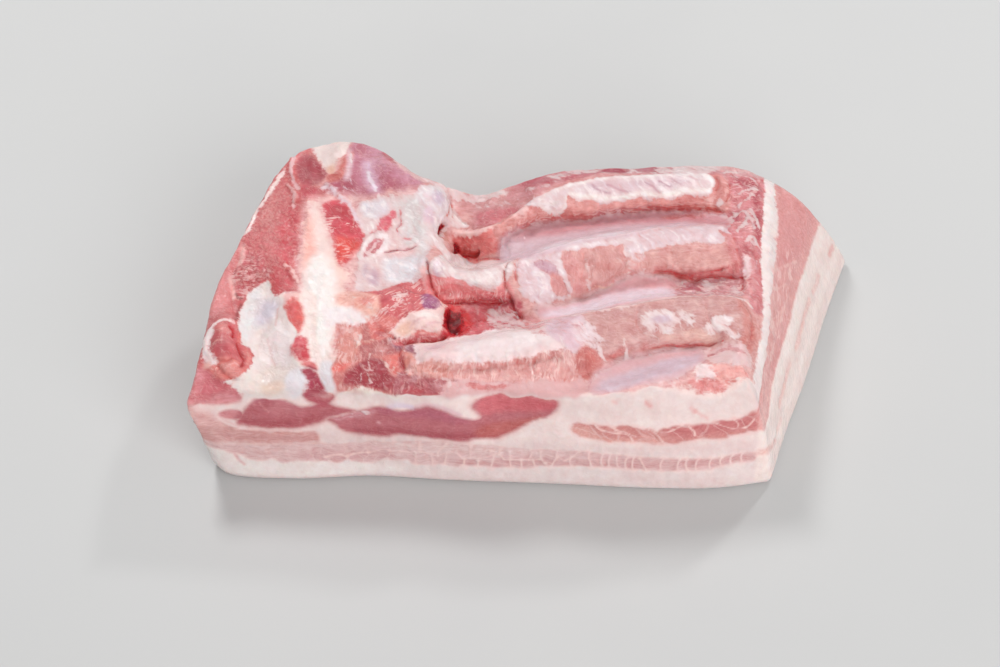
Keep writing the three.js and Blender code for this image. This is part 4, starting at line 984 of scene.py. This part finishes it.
# The loin cut.
LOIN_CUT = [
    (dict(tinge="#e9d6d3"), 4, "-80,-4 -56,-4 -54,26 -56,52 -80,52"),
    (dict(tinge="#f0dedc"), 2, "-80,60 80,60 80,46 -40,44 -80,38"),
    (dict(tinge="#f0ded9"), 3, "-80,28 -20,31 70,27 70,4 -80,4"),
    (dict(tinge="#ead6d1"), 2, "-60,24 -20,24 30,22 70,18 70,12 20,15 -40,14", "-64,9 70,10 70,5 -64,4"),
    (dict(lean="#e0a4a1"), 0.7, "-66,38 -60,40.5 -52,42.5 -42,42.5 -30,44.5 -20,45.8 0,46 20,45.6 40,46.4 "
     "66,47 66,26 56,27 42,28 28,29 12,30.8 -8,30.6 -24,31 -34,30.4 -42,29.4 -50,26.4 -60,27"),
    (dict(tint="#dc9897"), 3, "20,45 66,46 66,31 44,31 26,36"),
    (dict(tint="#da9896"), 2.5, oval(-24, 33, 10, 2.5)),
    (dict(tint="#e4aeaa"), 2.5, "-60,34 -40,33 -40,29 -60,27"),
    (dict(flecks=0.45, across=1), 3, "-60,42 -34,45 22,46 24,34 -30,34"),
    (dict(fat="#e9beba"), 0.6, Band(0.4, "-36,45 -33,42 -30,40"), Band(0.45, "-16,45 -12,42 -8,39.5 -4,38"),
     Band(0.4, "2,45.5 6,42 11,39"), Band(0.45, "12,45.6 17,42.5 23,38 27,35"),
     Band(0.4, "-30,36.5 -14,38 -2,36.5 8,36")),
    (dict(lean="#eac4be"), 0.8, Band(1, "-40,18.5 -30,19.6 -20,20.4"), Band(1, "-10,20 4,20.4 18,19.6")),
    (dict(lean="#eccac4"), 0.8, Band(0.7, "24,18.4 34,17.4")),
    (dict(lean="#e8bab6"), 0.8, Band(1, "49,15.5 54,14.6")),
    (dict(lean="#e8c0ba"), 0.9, Band(1, "-66,19 -60,15 -54,12")),
    (dict(lean="#ecccc6"), 0.9, Band(0.7, "-50,12.5 -44,13")),
]

# The cut behind shows the same layers as the one in front, with the loin cut's lean at their corner.
BACK_CORNER = [
    (dict(lean="#d89493"), 1.2, "88,35.6 93,38.4 99,41 112,42.6 112,23 99,25.4 92,28.6 86,29"),
]

# The breastbone edge shows the ends of the layers.
BREAST_EDGE = [
    (dict(lean="#d69091"), 1, "-80,80 -80,42 -56,40 -30,44 0,46 22,48 38,46.5 50,42 60,39 70,38.4 90,38.4 "
     "90,90"),
    (dict(tint="#e2aaa8"), 4, "-80,50 -54,48 -56,38 -80,38"),
    (dict(tint="#be6e74"), 7, "50,62 47,48 60,38 90,36 90,62"),
    (dict(tint="#cc8084"), 3, Band(2.5, "-50,46 -20,50 10,52 36,54")),
    (dict(fat="#eedad7"), 0.8, Band(0.6, "-40,52 -16,54 6,58 20,60")),
    (dict(lean="#cc928f"), 0.8, "-62,28 -46,30 -30,31 -8,34 10,35.5 34,37.4 50,37.2 60,36.8 90,36.6 "
     "90,27.6 60,28 44,29.6 30,31 10,30.4 -10,28 -30,26.4 -62,23"),
    (dict(tint="#d49e9b"), 2, "-62,30 -30,31 -10,32 -12,28 -36,26 -62,24"),
    (dict(lean="#d8aeac", cells=0.8), 0.8, "-64,20 -48,20.4 -30,22 -10,23 10,25.6 36,26.4 62,26.6 90,26.6 "
     "90,16 62,16 46,17.4 28,17 10,18 -12,16 -30,14.6 -50,14 -64,13"),
    (dict(tinge="#e8d4d1"), 3, "-80,12 80,14 80,-6 -80,-6"),
]


# ---------------------------------------------------------------------------------------------------------
# The slab's faces
# ---------------------------------------------------------------------------------------------------------

# The rib side's front edge as (x, y), and its edge at the loin cut as (y, x).
FRONT_RIM = points("-145,-60 -132,-56 -113,-57 -75,-57 -35,-61 -14,-58 6,-61 27,-61 48,-58 66,-58 76,-57.5 "
                   "84,-54.5 89,-52 100,-56")
LOIN_RIM = points("-57,91 -45,92 -30,95 -20,97 -5,98 5,98.5 15,99 30,100 42,102 60,104")
# The loin cut's looks start this far past its rim.
LOIN_START = 2.5
# The share of "up" in its direction below which a face counts as a side, and as the underside.
SIDE = 0.4
UNDERSIDE = -0.7
# How deep in fat the ground of the cuts is, and that of the rib side, which is lean.
CUT_GROUND = 4
RIB_SIDE_GROUND = -3
# The fat turns into rind between these heights.
RIND_TOP = 4.2
RIND_BODY = 2.2
# Nothing sinks below this height that wasn't there before.
LOWEST = 0.2
# How many times values are averaged over their neighbours: directions, looks at the rims, and the smooth
# surface that hollows are measured from.
FACING_ROUNDS = 2
RIM_ROUNDS = 6
HOLLOW_ROUNDS = 24
# A cut's height is taken at places so far apart, and counts where it is more than LEAST_HEIGHT.
STATION = 5
LEAST_HEIGHT = 20


def at(line, where):
    """The second number of a line's points where the first has the given values."""
    first, second = np.array(line).T
    return np.interp(where, first, second)


def top_height(places, rows):
    """How high a cut reaches at each x."""
    centres = np.arange(-145, 150, STATION)
    x, z = places[rows, 0], places[rows, 2]
    heights = np.array([z[np.abs(x - centre) < STATION].max(initial=0) for centre in centres])
    known = heights > LEAST_HEIGHT
    return np.interp(places[:, 0], centres[known], heights[known])


class Slab:
    """The slab's places, and the faces that they are on."""

    def __init__(self, mesh):
        self.mesh = mesh
        self.places = coordinates(mesh)
        self.facing = smoothed(mesh, normals(mesh), FACING_ROUNDS)
        x, y = self.places[:, 0], self.places[:, 1]
        up = self.facing[:, 2]
        self.past_loin_rim = x - at(LOIN_RIM, y)
        self.past_front_rim = at(FRONT_RIM, x) - y + 0.9 * noise(self.places, 7, 31)
        # Each face takes the vertices that no face before it has taken.
        rest = up > UNDERSIDE
        self.rows = {"underside": np.flatnonzero(~rest)}
        for name, here in [
            ("loin", (self.past_loin_rim > LOIN_START) & (x > 60)),
            ("front", (self.past_front_rim > 0) & (y < -40)),
            ("back", (up < SIDE) & (self.facing[:, 1] > 0.35) & (x > -100)),
            ("breast", (up < SIDE) & (x < -60)),
            ("ribs", rest),
        ]:
            self.rows[name] = np.flatnonzero(rest & here)
            rest = rest & ~here

    def on_ribs(self):
        """1 on the rib side, falling to 0 at its edges."""
        share = rise(self.facing[:, 2], 0.1, 0.5)
        return share * rise(-self.past_loin_rim, -9, -4) * rise(-self.past_front_rim, -1.5, 3)


def blend_rims(slab, paint):
    """Lets the rib side's looks and the cuts' run into each other at the rims."""
    share = rise(-np.abs(slab.past_front_rim), -2.2, -0.4) * rise(slab.places[:, 2], 12, 22)
    share = np.maximum(share, rise(-np.abs(slab.past_loin_rim - LOIN_START), -2.6, -0.6))
    looks = np.column_stack([paint.lean, paint.fat, paint.veil, paint.field, *paint.amounts.values()])
    looks += (smoothed(slab.mesh, looks, RIM_ROUNDS) - looks) * share[:, None]
    paint.lean, paint.fat, paint.veil, paint.field = looks[:, :3], looks[:, 3:6], looks[:, 6:9], looks[:, 9]
    paint.amounts = dict(zip(AMOUNTS, looks[:, 10:].T))


def paint_faces(slab):
    """Paints each face, and returns the results for the whole mesh."""
    places = slab.places
    x, y, z = places.T
    back_share = top_height(places, slab.rows["front"]) / top_height(places, slab.rows["back"])
    # Each face: the two numbers it is painted by, and its wander, ground colours, depth of fat and regions.
    faces = [
        ("ribs", (x, y), WANDER, RIB_SIDE_LEAN, FAT, RIB_SIDE_GROUND, LEFT_LOBE + MIDDLE + LOIN_SIDE),
        ("front", (x, z), CUT_WANDER, CUT_LEAN, FAT, CUT_GROUND, FRONT_CUT),
        ("back", (x, z * back_share), CUT_WANDER, CUT_LEAN, FAT, CUT_GROUND, FRONT_CUT + BACK_CORNER),
        ("loin", (y, z), CUT_WANDER, CUT_LEAN, FAT, CUT_GROUND, LOIN_CUT),
        ("breast", (y, z), BREAST_WANDER, CUT_LEAN, FAT, CUT_GROUND, BREAST_EDGE),
        ("underside", (x, y), 0, CUT_LEAN, RIND, CUT_GROUND, []),
    ]
    whole = Paint(places[:, :2], CUT_LEAN, FAT, CUT_GROUND)
    for name, (across, up), wander, lean, fat, depth, regions in faces:
        rows = slab.rows[name]
        flat = jittered(np.stack([across, up], 1)[rows], places[rows], wander)
        paint = Paint(flat, lean, fat, depth)
        paint.add_all(regions)
        for layer in ("lean", "fat", "veil", "field"):
            getattr(whole, layer)[rows] = getattr(paint, layer)
        for amount in AMOUNTS:
            whole.amounts[amount][rows] = paint.amounts[amount]
    blend_rims(slab, whole)
    skin = rise(-z, -RIND_TOP, -RIND_BODY)[:, None]
    whole.fat += (linear(RIND) - whole.fat) * skin
    return whole


def shape_slab(slab, paint):
    """Moves the mesh's vertices for the relief, and returns how deep in a hollow each of them is, for the
    painted shade and light.
    """
    ribs = slab.on_ribs()
    low = slab.places[:, 2]
    height = relief(slab.places) * ribs
    rough = 0.3 * noise(slab.places, 8, 21) + 0.16 * noise(slab.places, 3, 22)
    rough += 0.3 * (rise(paint.field, 0.4, 0.6) - 0.5)
    height += rough * (1 - ribs) * rise(low, 0.5, 5)
    moved = slab.places + slab.facing * height[:, None]
    moved[:, 2] = np.maximum(moved[:, 2], np.minimum(low, LOWEST))
    set_coordinates(slab.mesh, moved)
    return ((smoothed(slab.mesh, moved, HOLLOW_ROUNDS) - moved) * normals(slab.mesh)).sum(1)


def store(mesh, name, values):
    """Keeps a number or a colour for each vertex, for the shader."""
    if values.ndim == 1:
        mesh.attributes.new(name, "FLOAT", "POINT").data.foreach_set("value", values.astype(np.float32))
    else:
        colours = np.hstack([values, np.ones((len(values), 1))]).astype(np.float32)
        mesh.attributes.new(name, "FLOAT_COLOR", "POINT").data.foreach_set("color", colours.ravel())


# ---------------------------------------------------------------------------------------------------------
# Materials
# ---------------------------------------------------------------------------------------------------------

# Blood in the slits, mixed at random from the first two, and the darker colour of the painted shade in the
# deepest.
BLOOD = "#82040c"
BRIGHT_BLOOD = "#ce222e"
BLOOD_IN_DEEP_SHADE = "#54020a"
# The paler colour that fibres, threads and raised grains of the lean take, and that painted light gives to
# what stands out.
PALE_LEAN = "#eec4bf"


def plain(colour):
    """A colour for a node's input."""
    return (*linear(colour), 1.0)


class Nodes:
    """One material's nodes, added one by one. Sizes are in millimetres, angles in degrees."""

    def __init__(self, name):
        self.material = bpy.data.materials.new(name)
        self.material.use_nodes = True
        self.tree = self.material.node_tree
        self.tree.nodes.clear()
        object_places = self.add("TexCoord", {}).outputs["Object"]
        self.here = self.stretched(object_places, 1 / MM, 1 / MM, 1 / MM)

    def add(self, kind, inputs, **settings):
        """A node of the given kind, with its inputs linked or set."""
        node = self.tree.nodes.new("ShaderNode" + kind)
        for name, value in settings.items():
            setattr(node, name, value)
        for name, value in inputs.items():
            if isinstance(value, bpy.types.NodeSocket):
                self.tree.links.new(value, node.inputs[name])
            else:
                node.inputs[name].default_value = value
        return node

    def math(self, operation, *values):
        """A result of numbers."""
        return self.add("Math", dict(enumerate(values)), operation=operation).outputs[0]

    def total(self, *values):
        """The sum of some numbers."""
        return functools.reduce(functools.partial(self.math, "ADD"), values)

    def product(self, *values):
        """The product of some numbers."""
        return functools.reduce(functools.partial(self.math, "MULTIPLY"), values)

    def off(self, value, size):
        """A noise's swing about zero, times a size."""
        return self.product(self.math("SUBTRACT", value, 0.5), size)

    def ramp(self, value, start, end, low=0.0, high=1.0):
        """Low at the start value, high at the end value, and smooth between them."""
        inputs = {"Value": value, "From Min": start, "From Max": end, "To Min": low, "To Max": high}
        return self.add("MapRange", inputs, interpolation_type="SMOOTHSTEP").outputs[0]

    def blend(self, share, a, b):
        """A number between two."""
        return self.add("Mix", {0: share, 2: a, 3: b}, data_type="FLOAT").outputs[0]

    def mix(self, share, a, b, blend="MIX"):
        """A colour between two, or a share of their product."""
        return self.add("Mix", {0: share, 6: a, 7: b}, data_type="RGBA", blend_type=blend).outputs[2]

    def shade(self, colour, swing):
        """A colour made paler, or darker and redder."""
        red = self.math("MULTIPLY_ADD", swing, 0.45, 1.0)
        rest = self.math("ADD", swing, 1.0)
        return self.vector("MULTIPLY", colour, self.add("CombineXYZ", {0: red, 1: rest, 2: rest}).outputs[0])

    def stored(self, name, output="Fac"):
        """A number or, as the output Color, a colour that is stored in the mesh."""
        return self.add("Attribute", {}, attribute_name=name, attribute_type="GEOMETRY").outputs[output]

    def vector(self, operation, *values):
        """A result of vectors."""
        return self.add("VectorMath", dict(enumerate(values)), operation=operation).outputs[0]

    def stretched(self, places, x, y, z):
        """Places times a number along each axis."""
        return self.vector("MULTIPLY", places, (x, y, z))

    def turned(self, places, angle, axis="Z_AXIS"):
        """Places turned about an axis through the origin."""
        inputs = {"Vector": places, "Angle": math.radians(angle)}
        return self.add("VectorRotate", inputs, rotation_type=axis).outputs[0]

    def sway(self, size):
        """A noise's swing about zero along each axis."""
        inputs = {"Vector": self.here, "Scale": 1 / size, "Detail": 1.0}
        return self.vector("SUBTRACT", self.add("TexNoise", inputs).outputs["Color"], (0.5, 0.5, 0.5))

    def pushed(self, places, sway, amount):
        """Places moved by so much of a sway."""
        return self.vector("MULTIPLY_ADD", sway, (amount, amount, amount), places)

    def noise(self, places, size, detail=2.0, roughness=0.5):
        """Noise about 0.5, whose lumps are of the given size."""
        inputs = {"Vector": places, "Scale": 1 / size, "Detail": detail, "Roughness": roughness}
        return self.add("TexNoise", inputs).outputs["Fac"]

    def borders(self, places):
        """How far it is to the next border between cells one unit wide."""
        return self.add("TexVoronoi", {"Vector": places, "Scale": 1.0}, feature="DISTANCE_TO_EDGE").outputs[0]

    def bump(self, height, strength, distance, **inputs):
        """A bumpy surface's direction."""
        inputs.update({"Height": height, "Strength": strength, "Distance": distance})
        return self.add("Bump", inputs).outputs[0]

    def finish(self, shader):
        """The material, with the given shader."""
        output = self.add("OutputMaterial", {})
        self.tree.links.new(shader.outputs[0], output.inputs["Surface"])
        return self.material


class Meat(Nodes):
    """Raw pork: fibrous lean, waxy fat and a thin wet membrane, each where the painting says."""

    def __init__(self):
        super().__init__("raw_pork")
        self.cut = self.stored("cut")
        self.hollow = self.stored("hollow")
        self.grit = self.stored("grit")
        self.smooth = self.stored("smooth")
        self.slanting = self.stored("slant")
        self.fat_field = self.stored("fat_field")
        self.cells = self.product(self.stored("cells"), self.cut)
        self.wide_sway = self.sway(7.0)
        self.wavy = self.pushed(self.here, self.wide_sway, 5.0)
        self.large = self.noise(self.here, 6.0, 5, 0.55)
        self.blotch = self.noise(self.wavy, 4.5, 2, 0.45)
        self.middle = self.noise(self.here, 2.0, 3, 0.55)
        self.fine = self.noise(self.here, 0.7, 2, 0.6)
        self.grain = self.add("TexVoronoi", {"Vector": self.here, "Scale": 1 / 1.5}).outputs["Distance"]
        self.fibre = self.make_fibres()
        # Threads of connective tissue, drawn out along the fibres.
        self.strands = self.noise(self.stretched(self.turned(self.wavy, 48), 0.25, 1, 1), 2.6, 3, 0.55)
        self.wisps = self.noise(self.stretched(self.turned(self.wavy, 40), 0.14, 1, 1), 1.1, 3, 0.6)
        self.thread = self.ramp(self.math("ABSOLUTE", self.math("SUBTRACT", self.strands, 0.5)), 0.03, 0.0)

    def sides(self, ribs, cuts):
        """One number on the rib side and another on the cuts."""
        return self.ramp(self.cut, 0, 1, ribs, cuts)

    def make_fibres(self):
        """Fibres, which run along the slab, across it or slanting."""
        lengthwise = self.noise(self.stretched(self.wavy, 0.1, 1, 1), 0.9, 2, 0.5)
        across = self.noise(self.stretched(self.wavy, 1, 0.12, 0.25), 0.9, 2, 0.5)
        slanting = self.noise(self.stretched(self.turned(self.wavy, -40), 0.1, 1, 1), 0.9, 2, 0.5)
        fibre = self.blend(self.stored("across"), lengthwise, across)
        return self.blend(self.slanting, fibre, slanting)

    def make_lean(self):
        """Lean: mottled, with painted shade darker in hollows and painted light paler on what stands out. The
        cuts are the smoother.
        """
        pale = plain(PALE_LEAN)
        mottle = self.total(self.off(self.middle, 0.5), self.off(self.blotch, 1.0))
        swing = self.total(self.off(self.fibre, 0.7), self.product(mottle, self.sides(1, 0.4)))
        lean = self.shade(self.stored("lean_tone", "Color"), swing)
        haze = self.ramp(self.total(self.large, self.off(self.fibre, 0.4)), 0.58, 0.76, 0, 0.15)
        lean = self.mix(self.product(haze, self.sides(1, 0.3)), lean, pale)
        lean = self.mix(self.product(self.thread, self.sides(0.25, 0.08)), lean, pale)
        # Painted shade: the lean darker and redder in hollows.
        lean = self.mix(self.ramp(self.hollow, 0.05, 0.7, 0, 0.7), lean, plain("#f6968e"), "MULTIPLY")
        # Painted light: the lean paler on what stands out.
        lean = self.mix(self.ramp(self.hollow, -0.05, -0.5, 0, 0.3), lean, pale)
        grains = self.ramp(self.total(self.grain, self.off(self.middle, 0.8)), 0.2, 0.7, 0.16, 0.0)
        lean = self.mix(self.product(self.grit, grains), lean, pale)
        flecks = self.ramp(self.total(self.fibre, self.off(self.large, 0.8)), 0.54, 0.64, 0, 0.75)
        return self.mix(self.product(self.stored("flecks"), flecks), lean, plain("#f3d4cf"))

    def make_bundles(self):
        """The bundles of the layered lean on the cuts, upright or slanting: how far in each place is."""
        places = self.pushed(self.here, self.wide_sway, 2.25)
        places = self.pushed(places, self.sway(2.4), 1.8)
        upright = self.borders(self.stretched(places, 1 / 6.6, 1 / 90, 1 / 5))
        leaning = self.borders(self.stretched(self.turned(places, -38, "Y_AXIS"), 1 / 16, 1 / 90, 1 / 6))
        return self.blend(self.slanting, upright, leaning)

    def make_seams(self, bundles):
        """How much of each place is fat between two bundles."""
        depth = self.total(bundles, self.off(self.fine, 0.05), self.off(self.middle, 0.04))
        return self.product(self.cells, self.ramp(depth, 0.06, 0.02, 0, 0.75))

    def share_fat(self, bundles, seams):
        """How much of each place is fat."""
        stray = self.product(self.sides(1, 0.5), self.math("SUBTRACT", 1.0, self.smooth))
        warp = self.total(self.off(self.middle, 0.2), self.off(self.large, 0.15), self.off(self.fibre, 0.1))
        scallops = self.product(self.cells, self.ramp(bundles, 0, 0.25, 0.07, -0.03))
        share = self.ramp(self.total(self.fat_field, self.product(warp, stray), scallops), 0.45, 0.55)
        return self.math("MAXIMUM", share, seams)

    def make_fat(self):
        """Fat, pinker in hollows as painted shade, and, on the cuts, beside the lean."""
        swing = self.total(self.off(self.middle, 0.16), self.off(self.large, 0.3),
                           self.off(self.blotch, 0.15))
        fat = self.shade(self.stored("fat_tone", "Color"), swing)
        # Painted shade: the fat pinker in hollows.
        fat = self.mix(self.ramp(self.hollow, 0.03, 0.5, 0, 0.35), fat, plain("#f8beb8"), "MULTIPLY")
        beside_lean = self.product(self.ramp(self.fat_field, 0.5, 0.6, 0.45, 0.0), self.cut)
        return self.mix(beside_lean, fat, plain("#fadedc"), "MULTIPLY")

    def make_membrane(self):
        """The streaky membrane's share, greater where it is thick, and its colour, whiter there."""
        thick = self.stored("film")
        calm = self.math("MULTIPLY_ADD", self.smooth, -0.85, 1.0)
        streaks = self.total(self.off(self.large, 0.8), self.off(self.strands, 1.5),
                             self.off(self.wisps, 0.7), self.off(self.middle, 0.2))
        film = self.math("MULTIPLY_ADD", streaks, calm, thick)
        share = self.product(self.ramp(film, 0.3, 0.62), self.ramp(thick, 0.02, 0.2),
                             self.ramp(film, 0.5, 1.1, 0.72, 0.97))
        swing = self.total(self.product(self.off(self.strands, 0.35), calm), self.off(self.blotch, 0.35),
                           self.off(self.middle, 0.12))
        veil = self.shade(self.stored("veil_tone", "Color"), swing)
        white = self.product(calm, self.ramp(film, 0.95, 1.3, 0, 0.55))
        return share, self.mix(white, veil, plain("#faeeec"))

    def add_blood_and_shade(self, colour):
        """A colour with blood and painted shade in the slits over it, darkest in the deepest."""
        deep = self.total(self.stored("deep"), self.off(self.middle, 0.8), self.off(self.fine, 0.3))
        bright = self.ramp(self.total(self.fine, self.off(self.middle, 0.6)), 0.42, 0.62)
        blood = self.mix(bright, plain(BLOOD), plain(BRIGHT_BLOOD))
        colour = self.mix(self.ramp(deep, 0.25, 0.7), colour, blood)
        # Painted shade: darkest in the deepest slits.
        return self.mix(self.ramp(deep, 1.2, 2.2, 0, 0.8), colour, plain(BLOOD_IN_DEEP_SHADE))

    def make_surface(self, fat, film, seams):
        """The surface's direction, from the shares of fat, membrane and seams."""
        height = self.total(
            self.product(self.large, 0.5),
            self.product(self.middle, 0.25),
            self.product(self.fine, 0.05),
            self.product(self.fibre, self.math("SUBTRACT", 1.1, fat), 0.3),
            self.product(self.thread, 0.1),
            self.product(self.grain, self.grit, -0.3),
        )
        height = self.total(self.product(height, self.sides(1, 0.5)), self.product(film, 0.25),
                            self.product(seams, -0.1))
        return self.bump(height, 0.8, MM)

    def make(self):
        """The whole material. Beads of wet make the coat over it glisten."""
        bundles = self.make_bundles()
        seams = self.make_seams(bundles)
        fat = self.share_fat(bundles, seams)
        film, veil = self.make_membrane()
        colour = self.mix(film, self.mix(fat, self.make_lean(), self.make_fat()), veil)
        surface = self.make_surface(fat, film, seams)
        beads = self.noise(self.here, 1.6, 3, 0.6)
        roughness = self.blend(film, self.blend(fat, 0.46, 0.5), 0.33)
        return self.finish(self.add("BsdfPrincipled", {
            "Base Color": self.add_blood_and_shade(colour),
            "Roughness": self.total(roughness, self.off(self.large, 0.3)),
            "Normal": surface,
            "IOR": 1.4,
            "Specular IOR Level": 0.2,
            "Subsurface Weight": 0.3,
            "Subsurface Radius": (1.0, 0.3, 0.2),
            "Subsurface Scale": 2.5 * MM,
            "Coat Weight": 0.65,
            "Coat Roughness": 0.06,
            "Coat Normal": self.bump(beads, 1.0, 0.45 * MM, Normal=surface),
        }))


def floor_material():
    """A plain pale table top."""
    n = Nodes("pale_floor")
    cloud = n.noise(n.here, 90.0)
    return n.finish(n.add("BsdfPrincipled", {
        "Base Color": n.mix(cloud, plain("#c4c4c4"), plain("#cacac9")),
        "Roughness": n.ramp(cloud, 0, 1, 0.5, 0.6),
        "Normal": n.bump(n.noise(n.here, 3.0), 0.1, 0.2 * MM),
    }))


# ---------------------------------------------------------------------------------------------------------
# The scene
# ---------------------------------------------------------------------------------------------------------

# Where the rib side is split in two, in millimetres from the middle.
SPLIT = -24
# The floor's half width and the point that the lights shine on, in metres.
FLOOR = 6.0
LIT = Vector((0, 0, 0.03))


def split_off(whole, name, faces, values):
    """Some of a mesh's faces as a piece of its own, with the whole mesh's normals, so that no seam shows."""
    used, corners = np.unique(faces, return_inverse=True)
    mesh = bpy.data.meshes.new(name)
    mesh.from_pydata(coordinates(whole)[used] * MM, [], corners.reshape(-1, 4))
    mesh.shade_smooth()
    mesh.normals_split_custom_set_from_vertices(normals(whole)[used])
    for layer, numbers in values.items():
        store(mesh, layer, numbers[used])
    return link(bpy.data.objects.new(name, mesh))


def make_slab():
    """The slab's surface, in four seamless pieces because it is too fine for one."""
    whole = fine_mesh(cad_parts["pork_belly"], "whole_slab", levels=3)
    slab = Slab(whole.data)
    paint = paint_faces(slab)
    values = {
        "lean_tone": paint.lean,
        "fat_tone": paint.fat,
        "veil_tone": paint.veil,
        "fat_field": paint.field,
        "cut": 1 - slab.on_ribs(),
        "hollow": shape_slab(slab, paint),
        **paint.amounts,
    }
    faces = np.empty(len(whole.data.loops), int)
    whole.data.loops.foreach_get("vertex_index", faces)
    faces = faces.reshape(-1, 4)
    middle_x = slab.places[faces].mean(1)[:, 0]
    ribs, front, loin = [np.isin(faces, slab.rows[name]).any(1) for name in ("ribs", "front", "loin")]
    shown = ribs | front | loin
    material = Meat().make()
    for name, here in [
        ("breast_half", ribs & (middle_x < SPLIT)),
        ("rib_half", ribs & (middle_x >= SPLIT)),
        ("front_cuts", shown & ~ribs),
        ("rind_and_back", ~shown),
    ]:
        piece = split_off(whole.data, name, faces[here], values)
        piece.data.materials.append(material)
        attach(piece, "root")
        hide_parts("pork_belly")
    bpy.data.objects.remove(whole)


def make_floor():
    """The table top under the slab."""
    mesh = bpy.data.meshes.new("floor")
    corners = [(-FLOOR, -FLOOR, 0), (FLOOR, -FLOOR, 0), (FLOOR, FLOOR, 0), (-FLOOR, FLOOR, 0)]
    mesh.from_pydata(corners, [], [(0, 1, 2, 3)])
    mesh.materials.append(floor_material())
    floor = link(bpy.data.objects.new("floor", mesh))


def make_light(name, place, size, power):
    """A square white light that points at the slab."""
    data = bpy.data.lights.new(name, "AREA")
    data.shape = "SQUARE"
    data.size = size
    data.energy = power
    light = link(bpy.data.objects.new(name, data))
    light.location = place
    direction = LIT - light.location
    light.rotation_euler = direction.to_track_quat("-Z", "Y").to_euler()


def make_world():
    """Even white light from all around."""
    world = bpy.data.worlds.new("studio")
    world.use_nodes = True
    background = world.node_tree.nodes["Background"]
    background.inputs["Color"].default_value = (1, 1, 1, 1)
    background.inputs["Strength"].default_value = 0.42
    bpy.context.scene.world = world


def make_camera():
    """An 85 mm lens 1.03 m away, looking down at 50 degrees along +Y."""
    elevation, distance = math.radians(50), 1.0266
    target = Vector((-0.0142, -0.005, 0.024))
    data = bpy.data.cameras.new("camera")
    data.lens = 85
    data.sensor_width = 36
    camera = link(bpy.data.objects.new("camera", data))
    camera.location = target + distance * Vector((0, -math.cos(elevation), math.sin(elevation)))
    camera.rotation_euler = (math.pi / 2 - elevation, 0, 0)
    bpy.context.scene.camera = camera


make_slab()
make_floor()
make_light("key", (-0.45, 0.7, 1.0), 0.25, 6.7)
make_light("fill", (0.65, -1.1, 0.75), 1.2, 15.5)
make_light("glint", (0.45, 0.75, 0.7), 0.1, 2.4)
make_world()
make_camera()
bpy.context.scene.view_settings.view_transform = "Standard"
